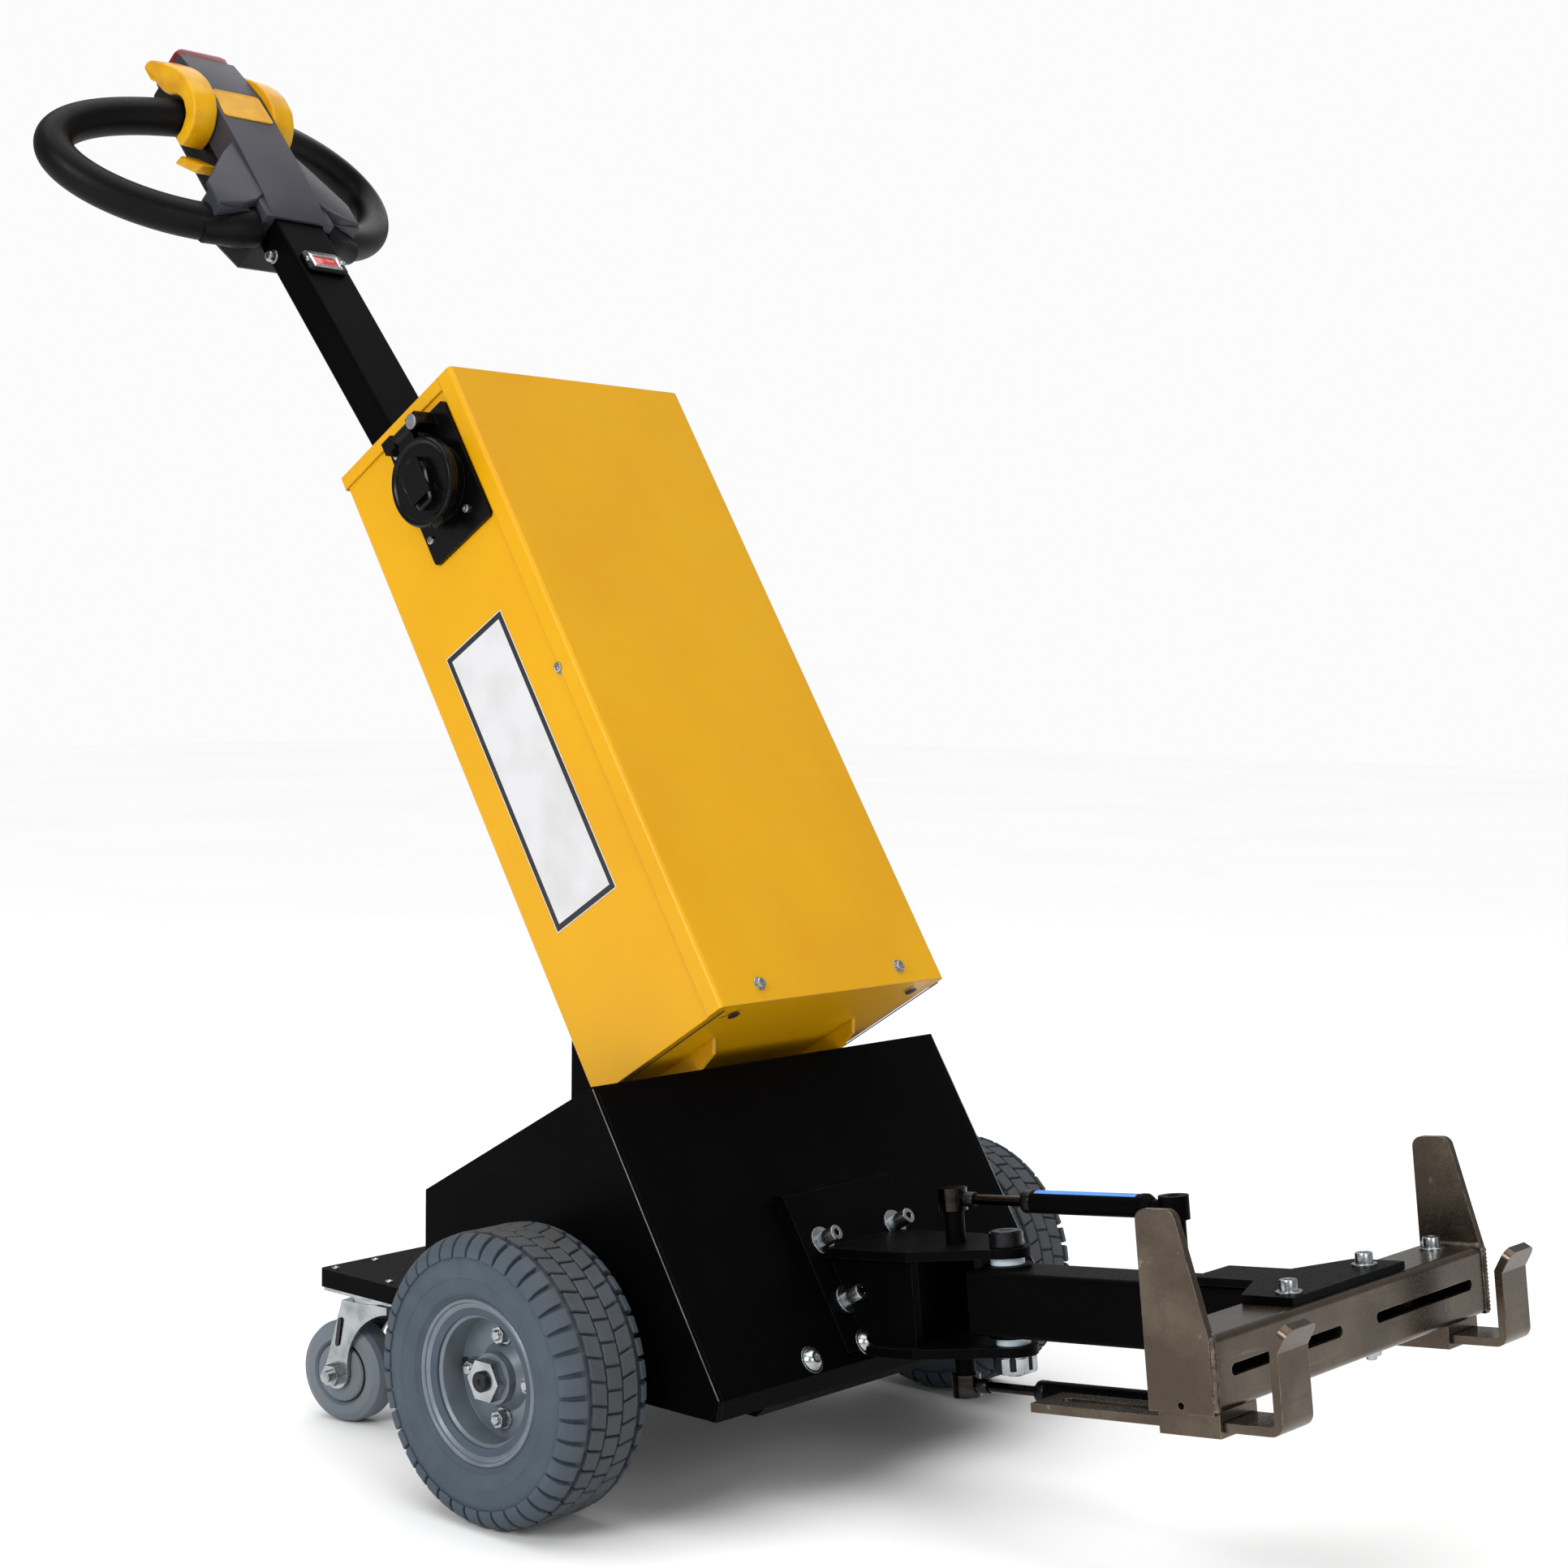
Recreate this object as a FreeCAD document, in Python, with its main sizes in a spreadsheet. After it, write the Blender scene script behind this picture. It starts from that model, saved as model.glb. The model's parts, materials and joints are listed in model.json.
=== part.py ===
"""Electric tow tug: a walk-behind battery tug with a swinging tow arm at the front.

Frame: +X forward, towards the tow arm, +Y to the tug's left, +Z up, floor at Z = 0.  The origin is
on the floor under the middle of the whole machine, and the drive axle stands axle_x ahead of it.
Millimetres and degrees.
"""
import FreeCAD, Part
import math
import os
import Sketcher

DOC = FreeCAD.newDocument("electric_tow_tug")
DIM = DOC.addObject("Spreadsheet::Sheet", "Dim")
NODES = []

# alias, value, what it is
SIZES = [
    ("axle_x", 98.98, "drive axle ahead of the origin"),
    ("running_fit", 0.05, "radial clearance of a shaft in its bore"),
    ("seat_gap", 0.3, "clearance between pieces that seat on each other"),
    ("overlap", 1, "parts of one piece run into each other, and cutters past their faces"),
    # drive wheels
    ("tyre_diameter", 228.6, "9 x 3.50-4 foam-filled tyre"),
    ("tyre_width", 88, "tyre section"),
    ("tyre_bead", 5, "slope of the tyre's bead and the rim's bead seat"),
    ("tyre_bulge", 16, "side wall's fullest line outside the flange"),
    ("tyre_shoulder", 24, "shoulder begins below the crown"),
    ("tread_inset", 17, "flat of the tread inside the tyre's side"),
    ("wheel_gap", 16.5, "drive tyre outside the side plate"),
    ("flange_diameter", 127, "rim over its flanges"),
    ("bead_diameter", 101.6, "rim at the bead seat"),
    ("rim_width", 72, "rim over its flanges, along the axle"),
    ("rim_wall", 2.5, "pressed rim"),
    ("rim_roll", 4, "rolled edge of the flange"),
    ("rim_step", 7, "rim's well inside the flange"),
    ("rim_plate", 5, "rim's disc thickness"),
    ("hub_cone", 7, "cone between disc and hub"),
    ("rim_disc", 8, "face of the rim's disc outboard of the tyre's middle"),
    ("hub_diameter", 40, "hub boss"),
    ("hub_out", 22, "hub boss outboard of the tyre's middle"),
    ("hub_in", 22, "hub boss inboard of the tyre's middle"),
    ("hub_bolt_circle", 66, "bolts through the rim's disc"),
    ("hub_bolt_hole", 8.5, "bolt hole in the rim's disc"),
    ("axle_diameter", 25.4, "live axle"),
    ("axle_hole_fit", 3, "side plate's hole round the axle"),
    ("axle_inner", 110, "inner end of each axle shaft from the middle"),
    ("axle_nut_flats", 30, "axle nut across flats"),
    ("axle_nut_height", 9, "axle nut"),
    # chassis shell
    ("shell_width", 427, "chassis over its side plates"),
    ("side_plate", 5, "side plate thickness"),
    ("cover_sheet", 4, "front, rear and belly sheet thickness"),
    ("shell_rear", 174, "rear wall behind the axle"),
    ("rear_lap", 2.5, "lower rear sheet stands proud of the shell"),
    ("rear_lap_drop", 9, "lower rear sheet's top edge below the shell's corner"),
    ("rear_height", 224.5, "top of the rear wall"),
    ("apex_x", 22, "ridge of the shell ahead of the axle"),
    ("apex_height", 333.4, "ridge of the shell"),
    ("nose_height", 110.4, "front corner of the shell"),
    ("shell_bottom", 95, "underside of the shell"),
    ("nose_tuck", 2.5, "lower edge of the front plate behind the nose"),
    ("pan_width", 300, "belly pan"),
    ("pan_drop", 12, "belly pan below the shell"),
    ("pan_margin", 20, "belly pan behind the nose and ahead of the rear wall"),
    ("pan_ramp", 14, "run of the belly pan's sloping ends"),
    # rear platform
    ("platform_length", 141, "platform behind the shell"),
    ("platform_top", 135.5, "platform's top face"),
    ("platform_depth", 15.5, "platform over its folded edge"),
    ("platform_sheet", 4, "platform sheet"),
    ("platform_corner", 6, "rounding of the platform's rear corners"),
    # casters
    ("caster_x", 268, "swivel behind the axle"),
    ("caster_y", 182, "swivel from the middle"),
    ("caster_trail", 34, "wheel behind the swivel"),
    ("caster_swing", 10, "casters stand swung outward"),
    ("caster_diameter", 89, "caster wheel"),
    ("caster_width", 30, "caster wheel"),
    ("caster_core", 50, "hub disc of the caster wheel"),
    ("caster_hub_wall", 5, "hub of the caster wheel round its bore"),
    ("caster_dish", 6, "hub disc inside the caster wheel's side"),
    ("caster_round", 8, "rounding of the caster wheel's tread"),
    ("caster_axle", 10, "caster axle bolt"),
    ("caster_plate_long", 94, "caster mounting plate along X"),
    ("caster_plate_wide", 58, "caster mounting plate along Y"),
    ("caster_plate_sheet", 3.5, "caster mounting plate"),
    ("fork_sheet", 3.5, "caster fork sheet"),
    ("fork_gap", 2.5, "fork leg from the wheel's side"),
    ("fork_foot", 13, "rounding of the fork leg about the axle"),
    ("fork_curve", 52, "hollow curve of the fork leg's front edge"),
    ("fork_curve_rise", 8, "middle of that curve above the caster axle"),
    ("fork_crown_back", 4, "fork's crown behind its race"),
    ("caster_nut", 17, "nut on the caster axle, across flats"),
    ("caster_nut_height", 8, "nut on the caster axle"),
    ("caster_bolt_tip", 6, "caster axle bolt beyond its nut"),
    ("race_diameter", 46, "ball race between plate and fork"),
    ("race_height", 6, "ball race"),
    ("kingpin_diameter", 12, "swivel pin"),
    ("kingpin_head", 3.5, "head of the swivel pin"),
    ("kingpin_head_diameter", 19, "head of the swivel pin"),
    # battery box
    ("box_tilt", 32.15, "box leans back"),
    ("box_corner_x", 93, "front lower corner ahead of the axle"),
    ("box_corner_z", 396.5, "front lower corner above the floor"),
    ("box_width", 281.5, "box over its front cover"),
    ("box_depth", 170.7, "box from front cover to rear wall"),
    ("box_length", 615.5, "box along its slope"),
    ("box_sheet", 2, "box sheet"),
    ("bend_radius", 4, "outside bend of the box's sheets"),
    ("cover_return", 18, "front cover wraps over the sides"),
    ("cap_lip", 12, "top cap laps over the walls"),
    ("gusset_sheet", 4, "gusset under the box"),
    ("gusset_y", 88, "gusset from the middle"),
    ("gusset_reach", 14, "gusset ahead of the ridge"),
    ("gusset_nose", 13, "front edge of the gusset"),
    ("cradle_x", 82, "back wall of the cradle behind the axle"),
    ("cradle_width", 270, "cradle behind the box"),
    ("cradle_sheet", 4, "cradle sheet"),
    ("battery_length", 350, "battery pack along the box"),
    ("battery_width", 240, "battery pack across"),
    ("battery_depth", 150, "battery pack front to back"),
    # charging inlet
    ("inlet_x", 61.5, "inlet's middle behind the box front"),
    ("inlet_z", 536, "inlet's middle along the box"),
    ("inlet_plate_x", 82, "inlet plate across"),
    ("inlet_plate_z", 118, "inlet plate along the box"),
    ("inlet_plate_t", 4, "inlet plate thickness"),
    ("socket_diameter", 66, "socket barrel"),
    ("socket_wall", 4, "socket barrel wall"),
    ("socket_height", 12, "socket barrel above its plate"),
    ("lid_diameter", 78, "flip lid"),
    ("lid_thickness", 7, "flip lid"),
    ("lid_grip_x", 26, "grip on the lid, across"),
    ("lid_grip_z", 34, "grip on the lid, along"),
    ("lid_grip_t", 9, "grip on the lid, height"),
    ("lid_hinge_z", 50, "lid hinge above the lid's middle"),
    ("lid_hinge_d", 12, "lid hinge knuckle"),
    ("lid_hinge_pin", 5, "lid hinge pin"),
    ("lid_knuckle", 22, "middle knuckle on the lid"),
    ("lid_ear", 14, "hinge ear on the plate"),
    # tiller
    ("tiller_lean", 7.85, "tiller leans back further than the box"),
    ("tiller_z", 565.5, "tiller's front face meets its bracket, along the box"),
    ("tube_width", 59, "tiller tube across"),
    ("tube_depth", 34, "tiller tube front to back"),
    ("tube_wall", 3, "tiller tube wall"),
    ("tube_length", 500, "tiller tube's front face"),
    ("bracket_sheet", 5, "tiller bracket"),
    ("bracket_width", 120, "tiller bracket across"),
    ("bracket_low", 300, "tiller bracket's lower edge along the box"),
    ("bracket_high", 590, "tiller bracket's upper edge along the box"),
    ("cheek_reach", 30, "tiller bracket's cheeks behind its plate"),
    ("cheek_low", 30, "cheeks begin above the bracket's lower edge"),
    ("cheek_high", 10, "cheeks end below the bracket's upper edge"),
    ("cheek_low_slope", 50, "rise of the cheeks' lower edge"),
    ("cheek_high_slope", 25, "fall of the cheeks' upper edge"),
    # tiller head
    ("head_low", 400, "lower edge of the head's base along the tiller"),
    ("cover_low", 411, "lower edge of the head's cover along the tiller"),
    ("head_high", 649, "upper end of the head along the tiller"),
    ("head_back", 62, "back of the head behind the tube's front"),
    ("head_split", 24, "joint between cover and base behind the tube's front"),
    ("head_half", 34, "half width of the head above its shoulders"),
    ("head_neck", 500, "where the shoulders begin to widen"),
    ("base_half", 60, "half width of the base across its shoulders"),
    ("base_foot_half", 46, "half width of the base at its foot"),
    ("base_round", 6, "rounding of the base's back edges"),
    ("base_chamfer_top", 434, "top of the slope from the base's foot to its shoulders"),
    ("tongue_half", 41.6, "half width of the cover's tongue"),
    ("cover_foot", 3, "front of the cover at its foot, ahead of the tube"),
    ("cover_knee", 6.5, "front of the cover over the shoulders, ahead of the tube"),
    ("cover_knee_z", 438, "where the cover's front begins to run up the head"),
    ("cover_front", 9.3, "front of the cover at its fullest, ahead of the tube"),
    ("cover_full_z", 588, "where the cover's front begins to fall back"),
    ("cover_top_fall", 10.3, "cover's front falls back to its top end"),
    ("arm_half", 86, "half width of the cover's arms over the loop"),
    ("arm_low", 424, "lower edge of the cover's arms"),
    ("arm_high", 450, "upper edge of the cover's arms at their ends"),
    ("arm_front", 5.5, "front of the cover's arms behind the tube's front"),
    ("grip_diameter", 37.5, "handle loop tube"),
    ("grip_back", 13, "loop's plane behind the tube's front at the middle"),
    ("grip_sweep", 15.4, "each side of the loop is swept back"),
    ("loop_root", 31.1, "both ends of the loop's middle line, along its plane"),
    ("loop_low", 421.8, "lower end of the loop along the tiller"),
    ("loop_high", 573.3, "upper end of the loop along the tiller"),
    ("elbow_out", 124.2, "pole of the loop's lower arm, out"),
    ("elbow_up", 431.9, "pole of the loop's lower arm, up"),
    ("bow_out", 262.8, "pole of the loop's bow, out"),
    ("bow_up", 553.5, "pole of the loop's bow, up"),
    ("shoulder_out", 143.5, "pole of the loop's upper arm, out"),
    ("shoulder_up", 600.7, "pole of the loop's upper arm, up"),
    ("lever_width", 27, "thumb lever across"),
    ("lever_gap", 1, "thumb lever from the head"),
    ("lever_x", 22.5, "loop's upper arm inside the lever, behind the tube's front"),
    ("lever_z", 576.5, "loop's upper arm inside the lever, along the tiller"),
    ("lever_up", 80.5, "thumb lever above the arm's middle"),
    ("lever_front", 40.5, "thumb lever ahead of the arm's middle"),
    ("lever_down", 29.5, "thumb lever below the arm's middle"),
    ("lever_back", 42.5, "thumb lever behind the arm's middle"),
    ("lever_round", 5, "rounding of the thumb lever's outer face"),
    ("button_low", 514, "horn button's lower edge along the tiller"),
    ("button_high", 552, "horn button's upper edge along the tiller"),
    ("button_front", 27, "horn button's front edge behind the tube's front"),
    ("button_back", 57, "horn button's back edge behind the tube's front"),
    ("button_reach", 26, "horn button beyond the head's side"),
    ("belly_height", 14, "belly switch above the head"),
    ("belly_corner", 9, "rounding of the belly switch"),
    # hitch
    ("pin_x", 274, "hitch pin ahead of the axle"),
    ("pin_z", 171, "hitch pin's middle above the floor"),
    ("hitch_pitch", 6.5, "tow arm rises towards the front"),
    ("hitch_pin", 19, "hitch pin diameter"),
    ("pin_head", 27, "hitch pin head diameter"),
    ("pin_nut", 28.6, "hitch pin's nut, across flats"),
    ("pin_tip", 2, "hitch pin beyond its nut"),
    ("pin_head_height", 11, "hitch pin head"),
    ("clevis_plate", 7.6, "clevis plate"),
    ("clevis_lug", 19, "clevis lug radius about the pin"),
    ("clevis_width", 100, "clevis plate at the chassis"),
    ("clevis_shoulder", 62, "clevis plate's full width ends behind the pin"),
    ("clevis_web", 8, "webs between the clevis plates"),
    ("web_inset", 6, "webs inside the clevis plates' edges"),
    ("web_depth", 30, "cross web behind the clevis plates' narrowing"),
    ("base_plate", 10, "bracket base plate"),
    ("base_width", 136, "bracket base plate across"),
    ("base_low", 122, "bracket base plate's lower edge above the floor"),
    ("base_high", 236, "bracket base plate's upper edge above the floor"),
    ("bush_collar", 2.6, "arm's pivot bush above and below the tube"),
    ("bush_diameter", 38, "arm's pivot bush"),
    ("washer_diameter", 27, "nylon washer"),
    ("washer_sheet", 5.8, "nylon washer thickness"),
    ("arm_size", 50.8, "arm and beam square tube"),
    ("arm_wall", 4.8, "arm and beam tube wall"),
    ("arm_tail", 22, "arm behind the pin"),
    ("beam_x", 282, "beam's middle ahead of the pin"),
    ("beam_length", 372, "beam"),
    ("slot_height", 8, "slot in the beam's front face"),
    ("slot_inner", 24, "beam slot's inner end from the middle"),
    ("slot_outer", 168, "beam slot's outer end from the middle"),
    ("tee_plate", 6, "tee plate thickness"),
    ("tee_tail", 70, "tee plate's tail behind the beam"),
    ("tee_half", 78, "tee plate's half width on the beam"),
    ("upright_sheet", 6.35, "upright thickness"),
    ("upright_height", 133.5, "upright"),
    ("upright_top", 30, "upright's width at its top"),
    ("upright_shoulder", 50, "upright's straight front edge"),
    ("upright_corner", 8, "rounding of the upright's top"),
    ("upright_hole", 5, "hole near the upright's foot"),
    ("strap_width", 38, "hook strap"),
    ("strap_sheet", 6.35, "hook strap thickness"),
    ("strap_y", 157, "hook strap from the middle"),
    ("strap_rear", 146, "hook strap's rear end ahead of the pin"),
    ("strap_slot", 11, "slot in the hook strap"),
    ("hook_x", 345, "hook leg's middle ahead of the pin"),
    ("strap_slot_end", 14, "metal left behind the hook strap's slot"),
    ("hook_rise", 15, "hook leg's bend above the beam's middle"),
    ("hook_lip", 17.5, "hook lip from its bend to its tip"),
    ("lip_lean", 31, "hook lip leans forward"),
    ("lip_corner", 8, "rounding of the hook lip's corners"),
    ("strap_bend", 3, "inside bend of the hook strap"),
    ("guide_top", 7, "strap guide's upper plate"),
    ("guide_sheet", 3.5, "strap guide's walls and floor"),
    ("guide_length", 48, "strap guide along the strap"),
    ("guide_x", 279, "strap guide's middle ahead of the pin"),
    # gas springs
    ("stud_rear", 50, "rear spring stud behind the pin"),
    ("stud_front", 159, "front spring stud ahead of the pin"),
    ("spring_upper", 77.5, "upper gas spring above the pin's middle"),
    ("spring_lower", 70, "lower gas spring below the pin's middle"),
    ("spacer_diameter", 16, "spacer under each spring end fitting"),
    ("stud_diameter", 9, "spring stud"),
    ("eye_diameter", 23, "spring end fitting"),
    ("eye_height", 18, "spring end fitting"),
    ("spring_tube", 18, "gas spring cylinder"),
    ("spring_wall", 1.6, "gas spring cylinder wall"),
    ("spring_rod", 8, "gas spring rod"),
    ("spring_neck", 11, "neck of each spring end fitting"),
    ("rod_fit", 0.25, "rod in its gland"),
    ("spring_tube_rear", 24, "rear end of the spring's cylinder ahead of the pin"),
    ("rod_inner", 70, "inner end of the rod ahead of the pin"),
    # drive unit inside the shell
    ("gearbox_width", 120, "transaxle gearbox across"),
    ("gearbox_length", 130, "transaxle gearbox along X"),
    ("gearbox_top", 100, "transaxle gearbox above the axle"),
    ("gearbox_bevel", 30, "sloping corners of the gearbox"),
    ("axle_tube", 50, "transaxle axle tube"),
    ("axle_tube_rise", 10, "transaxle axle tube's middle above the axle"),
    ("motor_diameter", 80, "drive motor"),
    ("motor_rise", 70, "drive motor's middle above the axle"),
    ("motor_end_gap", 20, "drive motor's end from the side plate"),
    ("bearing_diameter", 76, "axle bearing flange"),
    ("bearing_height", 10, "axle bearing flange"),
    ("bearing_round", 3, "rounding of the axle bearing flange"),
]

for row, (alias, size, meaning) in enumerate(SIZES, start=1):
    DIM.set(f"A{row}", meaning)
    DIM.set(f"B{row}", str(size))
    DIM.setAlias(f"B{row}", alias)
DOC.recompute()

# ---- places that several pieces share, as expressions in the sheet's cells ----------------------

SLOPE = "(Dim.apex_height - Dim.rear_height) / (Dim.apex_x + Dim.shell_rear)"
NOSE_X = "Dim.apex_x + (Dim.apex_height - Dim.nose_height) * tan(Dim.box_tilt)"
BOX_REAR_X = "Dim.box_corner_x - Dim.box_depth * cos(Dim.box_tilt)"
BOX_REAR_Z = "Dim.box_corner_z - Dim.box_depth * sin(Dim.box_tilt)"
BEHIND = "(Dim.box_depth + Dim.bracket_sheet)"
WALL_HALF = "(Dim.box_width / 2 - Dim.box_sheet - Dim.seat_gap)"
CAP_BACK = "(Dim.box_depth + Dim.box_sheet + Dim.seat_gap)"
SHELL_HALF = "Dim.shell_width / 2"
TRACK_HALF = f"({SHELL_HALF} + Dim.wheel_gap + Dim.tyre_width / 2)"
PAN_FLOOR = "(Dim.shell_bottom + Dim.cover_sheet - Dim.pan_drop)"
PLATFORM_FRONT = "(-Dim.shell_rear - Dim.rear_lap)"
ARM_HALF = "Dim.arm_size / 2"
BUSH_HALF = f"({ARM_HALF} + Dim.bush_collar)"
GAP_HALF = f"({BUSH_HALF} + Dim.washer_sheet + 2 * Dim.seat_gap)"

# x, y, z and backward lean of the four frames that the pieces are drawn in
GROUND = ("Dim.axle_x", "0", "0", "0")
BOX = ("Dim.axle_x + Dim.box_corner_x", "0", "Dim.box_corner_z", "Dim.box_tilt")
TILLER = (
    f"Dim.axle_x + Dim.box_corner_x - {BEHIND} * cos(Dim.box_tilt) - Dim.tiller_z * sin(Dim.box_tilt)",
    "0",
    f"Dim.box_corner_z - {BEHIND} * sin(Dim.box_tilt) + Dim.tiller_z * cos(Dim.box_tilt)",
    "Dim.box_tilt + Dim.tiller_lean",
)
HITCH = ("Dim.axle_x + Dim.pin_x", "0", "Dim.pin_z", "Dim.hitch_pitch")


def slope_z(x):
    """Height of the shell's sloping top at x behind or ahead of the axle."""
    return f"(Dim.rear_height + (({x}) + Dim.shell_rear) * {SLOPE})"


def box_floor_z(x):
    """Height of the box's underside at x."""
    return f"(Dim.box_corner_z - (Dim.box_corner_x - ({x})) * tan(Dim.box_tilt))"


def number(expression):
    return float(DIM.evalExpression(expression))


# ---- drawing helpers -----------------------------------------------------------------------------

def place(thing, station):
    """Bind a thing's placement to one of the frames: a lean about Y, or a swing about Z."""
    axis = FreeCAD.Vector(0, 0, 1) if station[4:] == ("swing",) else FreeCAD.Vector(0, -1, 0)
    thing.Placement = FreeCAD.Placement(FreeCAD.Vector(), FreeCAD.Rotation(axis, 10))
    for axis, expression in zip("xyz", station):
        thing.setExpression(f"Placement.Base.{axis}", expression)
    thing.setExpression("Placement.Rotation.Angle", station[3])


def new_body(label, station):
    body = DOC.addObject("PartDesign::Body", label)
    body.Label = label
    place(body, station)
    return body


def new_sketch(body, plane, offset="0"):
    """A sketch on one of the body's own origin planes, moved along that plane's normal."""
    sketch = body.newObject("Sketcher::SketchObject", f"{body.Name}_{plane}")
    for feature in body.Origin.OriginFeatures:
        if feature.Role == f"{plane}_Plane":
            sketch.AttachmentSupport = (feature, [""])
    sketch.MapMode = "FlatFace"
    sketch.setExpression("AttachmentOffset.Base.z", offset)
    return sketch


def bind(sketch, kind, element, point, expression):
    """A signed distance from the sketch's origin, bound to an expression."""
    index = sketch.addConstraint(Sketcher.Constraint(kind, element, point, number(expression)))
    sketch.setExpression(f"Constraints[{index}]", expression)


def draw_outline(sketch, corners):
    """A closed outline of straight edges through corners given as pairs of expressions."""
    first = sketch.GeometryCount
    spots = [FreeCAD.Vector(number(a), number(b), 0) for a, b in corners]
    for here, there in zip(spots, spots[1:] + spots[:1]):
        sketch.addGeometry(Part.LineSegment(here, there), False)
    for step in range(len(corners)):
        after = first + (step + 1) % len(corners)
        sketch.addConstraint(Sketcher.Constraint("Coincident", first + step, 2, after, 1))
    for step, (a, b) in enumerate(corners):
        bind(sketch, "DistanceX", first + step, 1, a)
        bind(sketch, "DistanceY", first + step, 1, b)


def draw_rectangle(sketch, low_a, high_a, low_b, high_b):
    draw_outline(sketch, [(low_a, low_b), (high_a, low_b), (high_a, high_b), (low_a, high_b)])


def draw_circle(sketch, a, b, radius):
    spot = FreeCAD.Vector(number(a), number(b), 0)
    index = sketch.addGeometry(Part.Circle(spot, FreeCAD.Vector(0, 0, 1), number(radius)), False)
    bind(sketch, "DistanceX", index, 3, a)
    bind(sketch, "DistanceY", index, 3, b)
    rule = sketch.addConstraint(Sketcher.Constraint("Radius", index, number(radius)))
    sketch.setExpression(f"Constraints[{rule}]", radius)


def draw_hexagon(sketch, a, b, flats):
    """Six sides about a middle, with two of them along the sketch's first direction."""
    flat = f"({flats}) / 2"
    point = f"({flats}) / sqrt(3)"
    draw_outline(sketch, [
        (f"{a} + {point}", b),
        (f"{a} + {point} / 2", f"{b} + {flat}"),
        (f"{a} - {point} / 2", f"{b} + {flat}"),
        (f"{a} - {point}", b),
        (f"{a} - {point} / 2", f"{b} - {flat}"),
        (f"{a} + {point} / 2", f"{b} - {flat}"),
    ])


def draw_slot(sketch, a_from, a_to, b, width):
    """A slot with round ends along the sketch's first direction."""
    radius = f"({width}) / 2"
    ends = (a_from, a_to)
    first = sketch.GeometryCount
    up = FreeCAD.Vector(0, number(radius), 0)
    left, right = (FreeCAD.Vector(number(end), number(b), 0) for end in ends)
    circle_left = Part.Circle(left, FreeCAD.Vector(0, 0, 1), up.y)
    circle_right = Part.Circle(right, FreeCAD.Vector(0, 0, 1), up.y)
    quarter = math.pi / 2
    sketch.addGeometry(Part.ArcOfCircle(circle_left, quarter, 3 * quarter), False)
    sketch.addGeometry(Part.LineSegment(left - up, right - up), False)
    sketch.addGeometry(Part.ArcOfCircle(circle_right, -quarter, quarter), False)
    sketch.addGeometry(Part.LineSegment(right + up, left + up), False)
    sketch.addConstraint(Sketcher.Constraint("Tangent", first, 2, first + 1, 1))
    sketch.addConstraint(Sketcher.Constraint("Tangent", first + 1, 2, first + 2, 1))
    sketch.addConstraint(Sketcher.Constraint("Tangent", first + 2, 2, first + 3, 1))
    sketch.addConstraint(Sketcher.Constraint("Tangent", first + 3, 2, first, 1))
    bind(sketch, "DistanceX", first, 3, a_from)
    bind(sketch, "DistanceY", first, 3, b)
    bind(sketch, "DistanceX", first + 2, 3, a_to)
    bind(sketch, "DistanceY", first + 2, 3, b)
    rule = sketch.addConstraint(Sketcher.Constraint("Radius", first, number(radius)))
    sketch.setExpression(f"Constraints[{rule}]", radius)


def pad(body, sketch, length, middle=False, backward=False):
    feature = body.newObject("PartDesign::Pad", f"{body.Name}_pad")
    feature.Profile = sketch
    feature.SideType = "Symmetric" if middle else "One side"
    feature.Reversed = backward
    feature.setExpression("Length", length)
    return feature


def pocket(body, sketch, length, middle=False, backward=False):
    """A pocket, with a check that it has cut something away."""
    DOC.recompute()
    before = body.Shape.Volume
    feature = body.newObject("PartDesign::Pocket", f"{body.Name}_pocket")
    feature.Profile = sketch
    feature.SideType = "Symmetric" if middle else "One side"
    feature.Reversed = backward
    feature.setExpression("Length", length)
    DOC.recompute()
    if body.Shape.Volume >= before - 1:
        raise RuntimeError(f"{body.Name}: a pocket cuts nothing")
    return feature


def revolve(body, sketch, axis="V_Axis"):
    feature = body.newObject("PartDesign::Revolution", f"{body.Name}_turned")
    feature.Profile = sketch
    feature.ReferenceAxis = (sketch, [axis])
    feature.Angle = 360
    return feature


def edges_that(shape, test):
    """Names of the edges whose middle and direction pass a test."""
    names = []
    for index, edge in enumerate(shape.Edges, start=1):
        middle = edge.valueAt((edge.FirstParameter + edge.LastParameter) / 2)
        start, end = edge.Vertexes[0].Point, edge.Vertexes[-1].Point
        if test(middle, end - start):
            names.append(f"Edge{index}")
    return names


def fillet(body, test, radius):
    """Round the edges of a body, seen in the body's own frame, that pass a test."""
    DOC.recompute()
    sharp = body.Tip
    names = edges_that(sharp.Shape, test)
    if not names:
        raise RuntimeError(f"{body.Name}: no edge to round")
    feature = body.newObject("PartDesign::Fillet", f"{body.Name}_round")
    feature.Base = (sharp, names)
    feature.setExpression("Radius", radius)
    return feature


def keep(thing, label):
    """Count a finished piece as a node of the model."""
    thing.Label = label
    NODES.append(thing)
    return thing


def both_sides(label, one):
    """Two like pieces, mirrored across the machine's middle, in one node."""
    mirrored = DOC.addObject("Part::Mirroring", f"{label}_mirrored")
    mirrored.Source = one
    mirrored.Base = FreeCAD.Vector(0, 0, 0)
    mirrored.Normal = FreeCAD.Vector(0, 1, 0)
    both = DOC.addObject("Part::Compound", label)
    both.Links = [one, mirrored]
    return keep(both, label)


def left_and_right(label, one):
    """Two like pieces on bodies of their own: the right one as drawn, the left one mirrored."""
    mirrored = DOC.addObject("Part::Mirroring", f"{label}_left")
    mirrored.Source = one
    mirrored.Base = FreeCAD.Vector(0, 0, 0)
    mirrored.Normal = FreeCAD.Vector(0, 1, 0)
    keep(one, f"{label}_right")
    keep(mirrored, f"{label}_left")


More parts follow.
